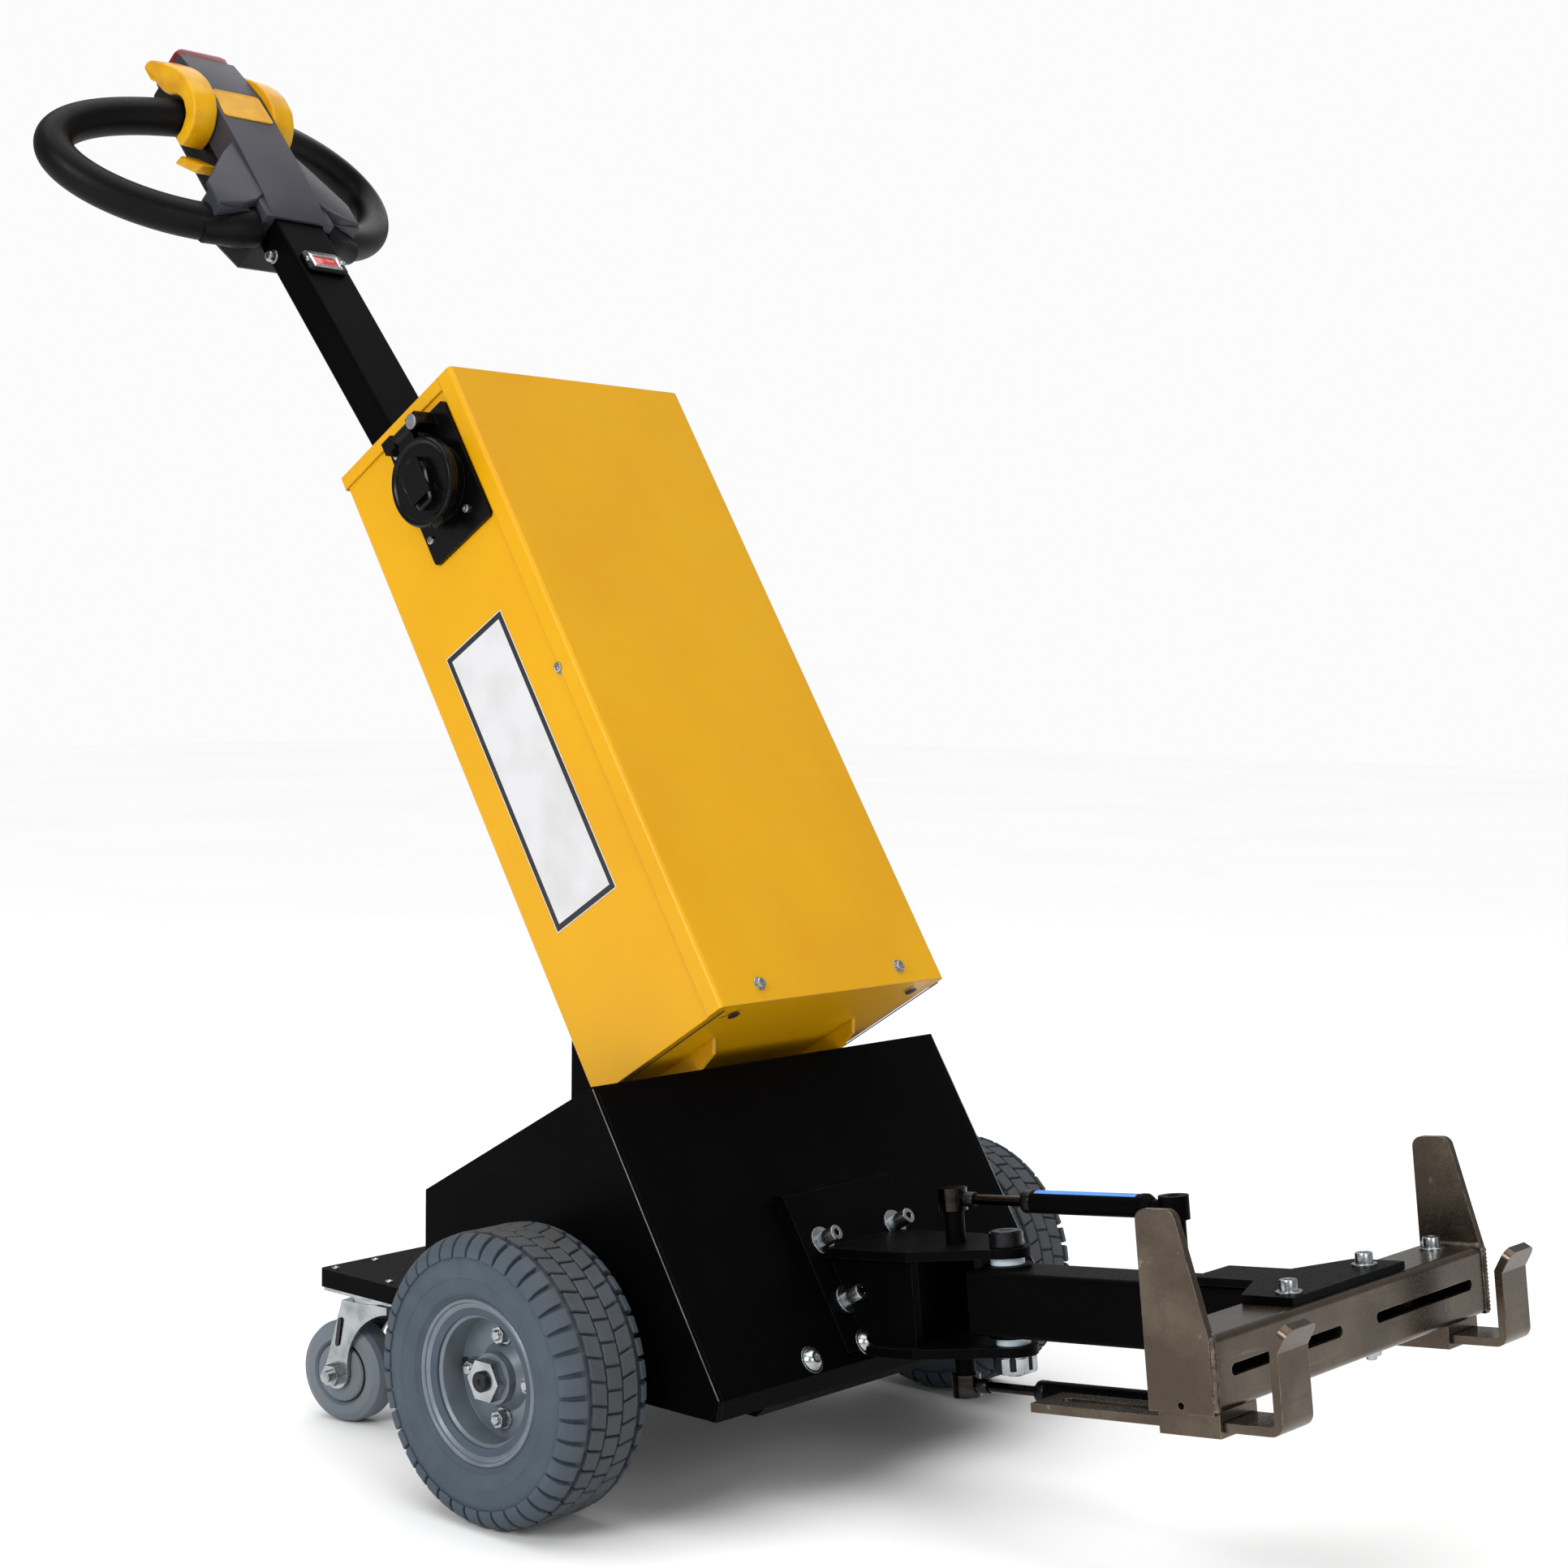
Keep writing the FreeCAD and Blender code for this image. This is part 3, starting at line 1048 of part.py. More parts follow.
def horn_buttons():
    """A yellow wedge on each side of the head below the thumb lever."""
    button = new_body("horn_button", TILLER)
    sketch = new_sketch(button, "XZ", "Dim.head_half + Dim.seat_gap")
    draw_outline(sketch, [
        ("-Dim.button_back", "Dim.button_high"),
        ("-(Dim.button_back + Dim.button_front) / 2", "Dim.button_high"),
        ("-Dim.button_front", "Dim.button_low"),
        ("-(Dim.button_back + Dim.button_front) / 2", "Dim.button_low"),
    ])
    pad(button, sketch, "Dim.button_reach")
    both_sides("horn_buttons", button)


def belly_switch():
    """Red pad over the top end of the head, pressed by the operator's body."""
    switch = new_body("belly_switch", TILLER)
    sketch = new_sketch(switch, "YZ", "-Dim.head_back + Dim.belly_corner")
    draw_rectangle(sketch, "-Dim.head_half", "Dim.head_half", "Dim.head_high + Dim.seat_gap",
                   "Dim.head_high + Dim.belly_height")
    pad(switch, sketch, "Dim.head_back - Dim.belly_corner")
    top = number("Dim.head_high + Dim.belly_height")
    fillet(switch, lambda at, run: abs(at.z - top) < 0.01 and abs(run.y) < 0.01, "Dim.belly_corner")
    keep(switch, "belly_switch")


# ---- drive unit and wheels -----------------------------------------------------------------------

AXLE_Z = "Dim.tyre_diameter / 2"


def transaxle():
    """Gearbox with an axle tube out to each side plate."""
    unit = new_body("transaxle", GROUND)
    case = new_sketch(unit, "XZ")
    half = "Dim.gearbox_length / 2"
    case_low = f"{PAN_FLOOR} + Dim.seat_gap"
    draw_outline(case, [
        (f"-{half}", case_low),
        (f"-{half}", f"{AXLE_Z} + Dim.gearbox_top - Dim.gearbox_bevel"),
        (f"-{half} + Dim.gearbox_bevel", f"{AXLE_Z} + Dim.gearbox_top"),
        (f"{half} - Dim.gearbox_bevel", f"{AXLE_Z} + Dim.gearbox_top"),
        (half, f"{AXLE_Z} + Dim.gearbox_top - Dim.gearbox_bevel"),
        (half, case_low),
    ])
    pad(unit, case, "Dim.gearbox_width", middle=True)
    tube = new_sketch(unit, "XZ")
    draw_circle(tube, "0", f"{AXLE_Z} + Dim.axle_tube_rise", "Dim.axle_tube / 2")
    pad(unit, tube, "Dim.shell_width - 2 * Dim.side_plate - 2 * Dim.seat_gap", middle=True)
    for side in ("", "-"):
        bore = new_sketch(unit, "XZ", f"{side}(Dim.shell_width / 2)")
        draw_circle(bore, "0", AXLE_Z, "Dim.axle_diameter / 2 + Dim.running_fit")
        pocket(unit, bore, "Dim.shell_width / 2 - Dim.axle_inner + Dim.overlap", backward=side == "-")
    keep(unit, "transaxle")


def drive_motor():
    """Upright-section motor lying behind the gearbox, on the gearbox's rear face."""
    motor = new_body("drive_motor", GROUND)
    sketch = new_sketch(motor, "XZ", "Dim.gearbox_width / 2 + Dim.seat_gap")
    draw_circle(sketch, "-Dim.gearbox_length / 4", f"{AXLE_Z} + Dim.motor_rise",
                "Dim.motor_diameter / 2")
    pad(motor, sketch, "Dim.shell_width / 2 - Dim.side_plate - Dim.gearbox_width / 2 - Dim.motor_end_gap")
    keep(motor, "drive_motor")


def axle_bearings():
    flange = new_body("axle_bearing", GROUND)
    sketch = new_sketch(flange, "XZ", SHELL_HALF)
    draw_circle(sketch, "0", AXLE_Z, "Dim.bearing_diameter / 2")
    draw_circle(sketch, "0", AXLE_Z, "Dim.axle_diameter / 2 + Dim.running_fit")
    pad(flange, sketch, "Dim.bearing_height")
    out = -number(f"{SHELL_HALF} + Dim.bearing_height")
    wide = number("Dim.bearing_diameter / 2")
    axle = number(AXLE_Z)
    fillet(flange, lambda at, run: abs(at.y - out) < 0.01
           and abs(math.hypot(at.x, at.z - axle) - wide) < 1, "Dim.bearing_round")
    both_sides("axle_bearings", flange)


def wheel_station():
    return ("Dim.axle_x", f"-{TRACK_HALF}", AXLE_Z, "0")


def drive_tyres():
    """Turned section: bead, bulging side wall, shoulder and flat tread."""
    tyre = new_body("drive_tyre", wheel_station())
    sketch = new_sketch(tyre, "XY")
    bead = "(Dim.bead_diameter / 2 + Dim.seat_gap)"
    lip = "(Dim.flange_diameter / 2 + Dim.seat_gap)"
    lip_y = "(Dim.rim_width / 2 - Dim.rim_wall - Dim.seat_gap)"
    crown = "Dim.tyre_diameter / 2"
    half = "Dim.tyre_width / 2"
    side = [
        (bead, f"{lip_y} - Dim.tyre_bead"),
        (f"{bead} + Dim.tyre_bead", lip_y),
        (lip, lip_y),
        (f"{lip} + Dim.tyre_bulge / 5", f"{half} - Dim.tread_inset / 3"),
        (f"{lip} + Dim.tyre_bulge", f"{half} - Dim.tread_inset / 16"),
        (f"{crown} - Dim.tyre_shoulder", half),
        (f"{crown} - Dim.tyre_shoulder / 2", f"{half} - Dim.tread_inset / 8"),
        (f"{crown} - Dim.tyre_shoulder / 6", f"{half} - Dim.tread_inset * 2 / 5"),
        (crown, f"{half} - Dim.tread_inset"),
    ]
    draw_outline(sketch, side + [(radius, f"-({along})") for radius, along in reversed(side)])
    revolve(tyre, sketch)
    left_and_right("drive_tyre", tyre)


def drive_rims():
    """One-piece rim: bead seats and flanges, a dished disc and a long hub."""
    rim = new_body("drive_rim", wheel_station())
    sketch = new_sketch(rim, "XY")
    lip = "Dim.flange_diameter / 2"
    seat = "Dim.bead_diameter / 2"
    well = f"({seat} - Dim.rim_wall)"
    half = "Dim.rim_width / 2"
    hub = "Dim.hub_diameter / 2"
    bore = "(Dim.axle_diameter / 2 + Dim.running_fit)"
    # outboard is the body's -Y, so the dish and the long side of the hub open that way
    draw_outline(sketch, [
        (lip, f"-({half} - Dim.rim_wall)"),
        (lip, f"-{half}"),
        (f"{lip} - Dim.rim_roll", f"-{half}"),
        (well, f"-({half} - Dim.rim_step)"),
        (well, "-Dim.rim_disc"),
        (f"{hub} + Dim.hub_cone", "-Dim.rim_disc"),
        (hub, "-(Dim.rim_disc + Dim.hub_cone)"),
        (hub, "-Dim.hub_out"),
        (bore, "-Dim.hub_out"),
        (bore, "Dim.hub_in"),
        (hub, "Dim.hub_in"),
        (hub, "-(Dim.rim_disc - Dim.rim_plate)"),
        (well, "-(Dim.rim_disc - Dim.rim_plate)"),
        (well, f"{half} - Dim.rim_step"),
        (f"{lip} - Dim.rim_roll", half),
        (lip, half),
        (lip, f"{half} - Dim.rim_wall"),
        (f"{seat} + Dim.tyre_bead", f"{half} - Dim.rim_wall"),
        (seat, f"{half} - Dim.rim_wall - Dim.tyre_bead"),
        (seat, f"-({half} - Dim.rim_wall - Dim.tyre_bead)"),
        (f"{seat} + Dim.tyre_bead", f"-({half} - Dim.rim_wall)"),
    ])
    revolve(rim, sketch)
    holes = new_sketch(rim, "XZ", "Dim.tyre_width / 2")
    draw_circle(holes, "0", "Dim.hub_bolt_circle / 2", "Dim.hub_bolt_hole / 2")
    cut = pocket(rim, holes, "Dim.tyre_width / 2 + Dim.hub_in")
    ring = rim.newObject("PartDesign::PolarPattern", "drive_rim_holes")
    ring.Originals = [cut]
    ring.Axis = (holes, ["N_Axis"])
    ring.Angle = 360
    ring.Occurrences = 4
    rim.Tip = ring
    left_and_right("drive_rim", rim)


def drive_axles():
    """Live axle shaft from the transaxle out through the hub, with its nut."""
    axle = new_body("drive_axle", GROUND)
    shaft = new_sketch(axle, "XZ", "Dim.axle_inner")
    draw_circle(shaft, "0", AXLE_Z, "Dim.axle_diameter / 2")
    outer = f"({TRACK_HALF} + Dim.hub_out + Dim.seat_gap)"
    pad(axle, shaft, f"{outer} - Dim.axle_inner")
    nut = new_sketch(axle, "XZ", outer)
    draw_hexagon(nut, "0", AXLE_Z, "Dim.axle_nut_flats")
    pad(axle, nut, "Dim.axle_nut_height")
    left_and_right("drive_axle", axle)


# ---- casters -------------------------------------------------------------------------------------

CASTER = ("Dim.axle_x - Dim.caster_x", "-Dim.caster_y", "0", "0")
SWUNG = CASTER[:3] + ("Dim.caster_swing", "swing")
CASTER_TOP = "(Dim.platform_top - Dim.platform_depth)"
CASTER_AXLE = "(Dim.caster_diameter / 2)"
PLATE_LOW = f"({CASTER_TOP} - Dim.caster_plate_sheet)"
CROWN_LOW = f"({PLATE_LOW} - Dim.race_height - Dim.fork_sheet)"


def caster_plates():
    """Mounting plate with the swivel pin headed over below the fork's crown."""
    plate = new_body("caster_plate", CASTER)
    flat = new_sketch(plate, "XY", PLATE_LOW)
    long, wide = "Dim.caster_plate_long / 2", "Dim.caster_plate_wide / 2"
    draw_rectangle(flat, f"-{long}", long, f"-{wide}", wide)
    pad(plate, flat, "Dim.caster_plate_sheet - Dim.seat_gap")
    fillet(plate, lambda at, run: abs(run.z) > 1, "Dim.platform_corner")
    head_top = f"({CROWN_LOW} - Dim.seat_gap)"
    pin = new_sketch(plate, "XY", f"{head_top} - Dim.kingpin_head")
    draw_circle(pin, "0", "0", "Dim.kingpin_diameter / 2")
    pad(plate, pin, f"{PLATE_LOW} + Dim.overlap - {head_top} + Dim.kingpin_head")
    head = new_sketch(plate, "XY", f"{head_top} - Dim.kingpin_head")
    draw_circle(head, "0", "0", "Dim.kingpin_head_diameter / 2")
    pad(plate, head, "Dim.kingpin_head")
    both_sides("caster_plates", plate)


def caster_forks():
    """Pressed fork: ball race and crown over two hollow-fronted legs, with the axle bolt."""
    inner = "(Dim.caster_width / 2 + Dim.fork_gap)"
    outer = f"({inner} + Dim.fork_sheet)"
    front = "Dim.race_diameter / 2"
    rear = f"(-{front} - Dim.fork_crown_back)"
    fork = new_body("caster_fork", SWUNG)
    crown = new_sketch(fork, "XY", CROWN_LOW)
    draw_rectangle(crown, rear, front, f"-{outer}", outer)
    pad(fork, crown, "Dim.fork_sheet")
    race = new_sketch(fork, "XY", f"{CROWN_LOW} + Dim.fork_sheet / 2")
    draw_circle(race, "0", "0", "Dim.race_diameter / 2")
    pad(fork, race, "Dim.race_height + Dim.fork_sheet / 2 - Dim.seat_gap")
    for side in ("", "-"):
        leg = new_sketch(fork, "XZ", f"{side}{inner}")
        draw_outline(leg, [
            (rear, f"{CROWN_LOW} + Dim.fork_sheet"),
            (front, f"{CROWN_LOW} + Dim.fork_sheet"),
            (front, CASTER_AXLE),
            ("-Dim.caster_trail - Dim.fork_foot", CASTER_AXLE),
        ])
        pad(fork, leg, "Dim.fork_sheet", backward=side == "-")
    hollow = new_sketch(fork, "XZ")
    draw_circle(hollow, "-Dim.caster_trail + Dim.fork_foot + Dim.fork_curve",
                f"{CASTER_AXLE} + Dim.fork_curve_rise", "Dim.fork_curve")
    pocket(fork, hollow, f"2 * {outer} + Dim.fork_sheet", middle=True)
    for side in ("", "-"):
        foot = new_sketch(fork, "XZ", f"{side}{inner}")
        draw_circle(foot, "-Dim.caster_trail", CASTER_AXLE, "Dim.fork_foot")
        pad(fork, foot, "Dim.fork_sheet", backward=side == "-")
        nut = new_sketch(fork, "XZ", f"{side}({outer} - Dim.fork_sheet / 2)")
        draw_hexagon(nut, "-Dim.caster_trail", CASTER_AXLE, "Dim.caster_nut")
        pad(fork, nut, "Dim.fork_sheet / 2 + Dim.caster_nut_height", backward=side == "-")
    bolt = new_sketch(fork, "XZ")
    draw_circle(bolt, "-Dim.caster_trail", CASTER_AXLE, "Dim.caster_axle / 2")
    pad(fork, bolt, f"2 * ({outer} + Dim.caster_nut_height + Dim.caster_bolt_tip)", middle=True)
    bore = new_sketch(fork, "XY", PLATE_LOW)
    draw_circle(bore, "0", "0", "Dim.kingpin_diameter / 2 + Dim.running_fit")
    pocket(fork, bore, "Dim.race_height + 2 * Dim.fork_sheet")
    left_and_right("caster_fork", fork)


def caster_wheels():
    """Moulded wheel: tyre with rounded shoulders, recessed disc and a hub."""
    station = (
        "Dim.axle_x - Dim.caster_x - Dim.caster_trail * cos(Dim.caster_swing)",
        "-Dim.caster_y - Dim.caster_trail * sin(Dim.caster_swing)",
        CASTER_AXLE, "Dim.caster_swing", "swing",
    )
    wheel = new_body("caster_wheel", station)
    sketch = new_sketch(wheel, "XY")
    bore = "(Dim.caster_axle / 2 + Dim.running_fit)"
    half = "Dim.caster_width / 2"
    rim = "Dim.caster_diameter / 2"
    side = [
        (bore, f"{half} + Dim.fork_gap - Dim.seat_gap"),
        (f"{bore} + Dim.caster_hub_wall", f"{half} + Dim.fork_gap - Dim.seat_gap"),
        (f"{bore} + Dim.caster_hub_wall", f"{half} - Dim.caster_dish"),
        ("Dim.caster_core / 2", f"{half} - Dim.caster_dish"),
        ("Dim.caster_core / 2 + Dim.caster_dish * 2 / 3", half),
        (f"{rim} - Dim.caster_round", half),
        (f"{rim} - Dim.caster_round / 4", f"{half} - Dim.caster_round * 3 / 8"),
        (rim, f"{half} - Dim.caster_round"),
    ]
    draw_outline(sketch, side + [(radius, f"-({along})") for radius, along in reversed(side)])
    revolve(wheel, sketch)
    left_and_right("caster_wheel", wheel)


# ---- hitch ---------------------------------------------------------------------------------------

def clevis_plate(name, low):
    """Plate that narrows from the chassis to the lug round the pin."""
    plate = new_body(name, HITCH)
    half = "Dim.clevis_width / 2"
    sketch = new_sketch(plate, "XY", low)
    draw_outline(sketch, [
        ("-Dim.pin_x", f"-{half}"),
        ("-Dim.clevis_shoulder", f"-{half}"),
        ("-Dim.clevis_lug / 10", "-Dim.clevis_lug"),
        ("-Dim.clevis_lug / 10", "Dim.clevis_lug"),
        ("-Dim.clevis_shoulder", half),
        ("-Dim.pin_x", half),
    ])
    pad(plate, sketch, "Dim.clevis_plate")
    lug = new_sketch(plate, "XY", low)
    draw_circle(lug, "0", "0", "Dim.clevis_lug")
    pad(plate, lug, "Dim.clevis_plate")
    bore = new_sketch(plate, "XY", f"({low}) + Dim.clevis_plate")
    draw_circle(bore, "0", "0", "Dim.hitch_pin / 2 + Dim.running_fit")
    pocket(plate, bore, "Dim.clevis_plate")
    return plate


def hitch_bracket():
    """Weldment on the front plate: base plate, two clevis plates, webs and two spring studs."""
    half = "Dim.base_width / 2"
    base = new_body("hitch_base", GROUND)
    side = new_sketch(base, "XZ")
    run = "Dim.base_plate / cos(Dim.box_tilt)"

    def front_x(z):
        return f"(Dim.apex_x + (Dim.apex_height - {z}) * tan(Dim.box_tilt))"

    draw_outline(side, [
        (front_x("Dim.base_low"), "Dim.base_low"),
        (f"{front_x('Dim.base_low')} + {run}", "Dim.base_low"),
        (f"{front_x('Dim.base_high')} + {run}", "Dim.base_high"),
        (front_x("Dim.base_high"), "Dim.base_high"),
    ])
    pad(base, side, "Dim.base_width", middle=True)
    top = clevis_plate("clevis_top", GAP_HALF)
    bottom = clevis_plate("clevis_bottom", f"-{GAP_HALF} - Dim.clevis_plate")
    webs = new_body("clevis_webs", HITCH)
    for side_sign in ("", "-"):
        web = new_sketch(webs, "XZ", f"{side_sign}(Dim.clevis_width / 2 - Dim.clevis_web - Dim.web_inset)")
        draw_rectangle(web, "-Dim.pin_x", "-Dim.clevis_shoulder",
                       f"-{GAP_HALF} - Dim.overlap", f"{GAP_HALF} + Dim.overlap")
        pad(webs, web, "Dim.clevis_web", backward=side_sign == "-")
    back = new_sketch(webs, "XY", f"-{GAP_HALF} - Dim.overlap")
    inset = "(Dim.clevis_width / 2 - Dim.web_inset - Dim.clevis_web / 2)"
    draw_rectangle(back, "-Dim.pin_x", "-Dim.clevis_shoulder - Dim.web_depth",
                   f"-{inset}", inset)
    pad(webs, back, f"2 * ({GAP_HALF} + Dim.overlap)")
    studs = []
    for name, sign, level in (("stud_top", "", "Dim.spring_upper"),
                              ("stud_bottom", "-", "Dim.spring_lower")):
        stud = new_body(name, HITCH)
        foot = f"({GAP_HALF} + Dim.clevis_plate)"
        head = f"({level} - Dim.eye_height / 2 - Dim.seat_gap)"
        sketch = new_sketch(stud, "XY", f"{sign}({foot} - Dim.overlap)")
        draw_circle(sketch, "-Dim.stud_rear", "0", "Dim.spacer_diameter / 2")
        pad(stud, sketch, f"{head} - ({foot} - Dim.overlap)", backward=sign == "-")
        studs.append(stud)
    solid = boolean("Part::MultiFuse", "hitch_weldment", [base, top, bottom, webs] + studs)
    inside = new_body("hitch_trim", GROUND)
    trim = new_sketch(inside, "XZ")
    draw_outline(trim, [
        (front_x("-Dim.pin_z"), "-Dim.pin_z"),
        (front_x("3 * Dim.pin_z"), "3 * Dim.pin_z"),
        (f"{front_x('3 * Dim.pin_z')} - 2 * Dim.pin_x", "3 * Dim.pin_z"),
        (f"{front_x('-Dim.pin_z')} - 2 * Dim.pin_x", "-Dim.pin_z"),
    ])
    pad(inside, trim, "2 * Dim.base_width", middle=True)
    keep(boolean("Part::Cut", "hitch_bracket", [solid, inside]), "hitch_bracket")


def hitch_pin():
    """Cap screw through the clevis, with its nut below."""
    pin = new_body("hitch_pin", HITCH)
    out = f"({GAP_HALF} + Dim.clevis_plate + Dim.seat_gap)"
    shank = new_sketch(pin, "XY", f"-{out} - Dim.pin_head_height - Dim.pin_tip")
    draw_circle(shank, "0", "0", "Dim.hitch_pin / 2")
    pad(pin, shank, f"2 * {out} + Dim.pin_head_height + Dim.pin_tip")
    head = new_sketch(pin, "XY", out)
    draw_circle(head, "0", "0", "Dim.pin_head / 2")
    pad(pin, head, "Dim.pin_head_height")
    nut = new_sketch(pin, "XY", f"-{out}")
    draw_hexagon(nut, "0", "0", "Dim.pin_nut")
    pad(pin, nut, "Dim.pin_head_height", backward=True)
    keep(pin, "hitch_pin")


def nylon_washers():
    """One washer above and one below the arm's bush."""
    washers = []
    low = f"({BUSH_HALF} + Dim.seat_gap)"
    for name, start in (("washer_top", low), ("washer_bottom", f"-{low} - Dim.washer_sheet")):
        washer = new_body(name, HITCH)
        sketch = new_sketch(washer, "XY", start)
        draw_circle(sketch, "0", "0", "Dim.washer_diameter / 2")
        draw_circle(sketch, "0", "0", "Dim.hitch_pin / 2 + Dim.running_fit")
        pad(washer, sketch, "Dim.washer_sheet")
        washers.append(washer)
    both = DOC.addObject("Part::Compound", "nylon_washers")
    both.Links = washers
    keep(both, "nylon_washers")


def tow_arm():
    """Square tube with the pivot bush through its tail and a spring stud above and below."""
    arm = new_body("tow_arm", HITCH)
    face = "(Dim.beam_x - Dim.arm_size / 2 - Dim.seat_gap)"
    tube = new_sketch(arm, "XY", f"-{ARM_HALF}")
    draw_rectangle(tube, "-Dim.arm_tail", face, f"-{ARM_HALF}", ARM_HALF)
    pad(arm, tube, "Dim.arm_size")
    wide = number(ARM_HALF)
    fillet(arm, lambda at, run: abs(abs(at.y) - wide) < 0.01 and abs(abs(at.z) - wide) < 0.01
           and abs(run.x) > 10, "Dim.arm_wall")
    inside = new_sketch(arm, "YZ", "-Dim.arm_tail")
    inner = f"({ARM_HALF} - Dim.arm_wall)"
    draw_rectangle(inside, f"-{inner}", inner, f"-{inner}", inner)
    pocket(arm, inside, f"{face} + Dim.arm_tail", backward=True)
    bush = new_sketch(arm, "XY")
    draw_circle(bush, "0", "0", "Dim.bush_diameter / 2")
    pad(arm, bush, f"2 * {BUSH_HALF}", middle=True)
    for sign, level in (("", "Dim.spring_upper"), ("-", "Dim.spring_lower")):
        spacer = new_sketch(arm, "XY", f"{sign}({ARM_HALF} - Dim.arm_wall / 2)")
        draw_circle(spacer, "Dim.stud_front", "0", "Dim.spacer_diameter / 2")
        shoulder = f"{level} - Dim.eye_height / 2 - Dim.seat_gap - {ARM_HALF} + Dim.arm_wall / 2"
        pad(arm, spacer, shoulder, backward=sign == "-")
        stud = new_sketch(arm, "XY", f"{sign}({ARM_HALF} - Dim.arm_wall / 2)")
        draw_circle(stud, "Dim.stud_front", "0", "Dim.stud_diameter / 2")
        pad(arm, stud, f"{level} + Dim.stud_diameter / 4 - {ARM_HALF} + Dim.arm_wall / 2",
            backward=sign == "-")
    bore = new_sketch(arm, "XY")
    draw_circle(bore, "0", "0", "Dim.hitch_pin / 2 + Dim.running_fit")
    pocket(arm, bore, f"2 * ({BUSH_HALF} + Dim.overlap)", middle=True)
    keep(arm, "tow_arm")


def tee_plate():
    """Flat plate that ties the beam to the arm."""
    plate = new_body("tee_plate", HITCH)
    sketch = new_sketch(plate, "XY", f"{ARM_HALF} + Dim.seat_gap")
    rear = f"(Dim.beam_x - {ARM_HALF})"
    front = f"(Dim.beam_x + {ARM_HALF} - Dim.arm_wall)"
    draw_outline(sketch, [
        (f"{rear} - Dim.tee_tail", f"-{ARM_HALF}"),
        (f"{rear} - Dim.tee_tail / 4", f"-{ARM_HALF}"),
        (f"{rear} + Dim.arm_wall", "-Dim.tee_half"),
        (front, "-Dim.tee_half"),
        (front, "Dim.tee_half"),
        (f"{rear} + Dim.arm_wall", "Dim.tee_half"),
        (f"{rear} - Dim.tee_tail / 4", ARM_HALF),
        (f"{rear} - Dim.tee_tail", ARM_HALF),
    ])
    pad(plate, sketch, "Dim.tee_plate")
    keep(plate, "tee_plate")


def cross_beam():
    """Square tube across the arm's end, with two long slots in its front wall."""
    beam = new_body("cross_beam", HITCH)
    section = new_sketch(beam, "XZ")
    inner = f"({ARM_HALF} - Dim.arm_wall)"
    draw_rectangle(section, f"Dim.beam_x - {ARM_HALF}", f"Dim.beam_x + {ARM_HALF}",
                   f"-{ARM_HALF}", ARM_HALF)
    pad(beam, section, "Dim.beam_length", middle=True)
    middle = number("Dim.beam_x")
    wide = number(ARM_HALF)
    fillet(beam, lambda at, run: abs(abs(at.x - middle) - wide) < 0.01
           and abs(abs(at.z) - wide) < 0.01, "Dim.arm_wall")
    hollow = new_sketch(beam, "XZ")
    draw_rectangle(hollow, f"Dim.beam_x - {inner}", f"Dim.beam_x + {inner}", f"-{inner}", inner)
    pocket(beam, hollow, "Dim.beam_length + 2 * Dim.overlap", middle=True)
    slots = new_sketch(beam, "YZ", "Dim.beam_x")
    inset = "Dim.slot_height / 2"
    draw_slot(slots, f"Dim.slot_inner + {inset}", f"Dim.slot_outer - {inset}", "0", "Dim.slot_height")
    draw_slot(slots, f"-Dim.slot_outer + {inset}", f"-Dim.slot_inner - {inset}", "0", "Dim.slot_height")
    pocket(beam, slots, f"{ARM_HALF} + Dim.overlap", backward=True)
    keep(beam, "cross_beam")


def uprights():
    """Tapered side plates welded to the beam's ends."""
    rear = f"(Dim.beam_x - {ARM_HALF})"
    front = f"(Dim.beam_x + {ARM_HALF})"
    top = f"(Dim.upright_height - {ARM_HALF})"
    plate = new_body("upright", HITCH)
    sketch = new_sketch(plate, "XZ", "Dim.beam_length / 2 + Dim.seat_gap")
    draw_outline(sketch, [
        (rear, f"-{ARM_HALF}"),
        (front, f"-{ARM_HALF}"),
        (front, f"Dim.upright_shoulder - {ARM_HALF}"),
        (f"{rear} + Dim.upright_top", top),
        (rear, top),
    ])
    draw_circle(sketch, "Dim.beam_x", f"-{ARM_HALF} + Dim.upright_hole", "Dim.upright_hole / 2")
    pad(plate, sketch, "Dim.upright_sheet")
    high = number(top)
    fillet(plate, lambda at, run: abs(at.z - high) < 0.01 and abs(run.y) > 1, "Dim.upright_corner")
    both_sides("uprights", plate)


GUIDE_HIGH = f"(-{ARM_HALF} - Dim.seat_gap)"
STRAP_TOP = f"({GUIDE_HIGH} - Dim.guide_top - Dim.seat_gap)"


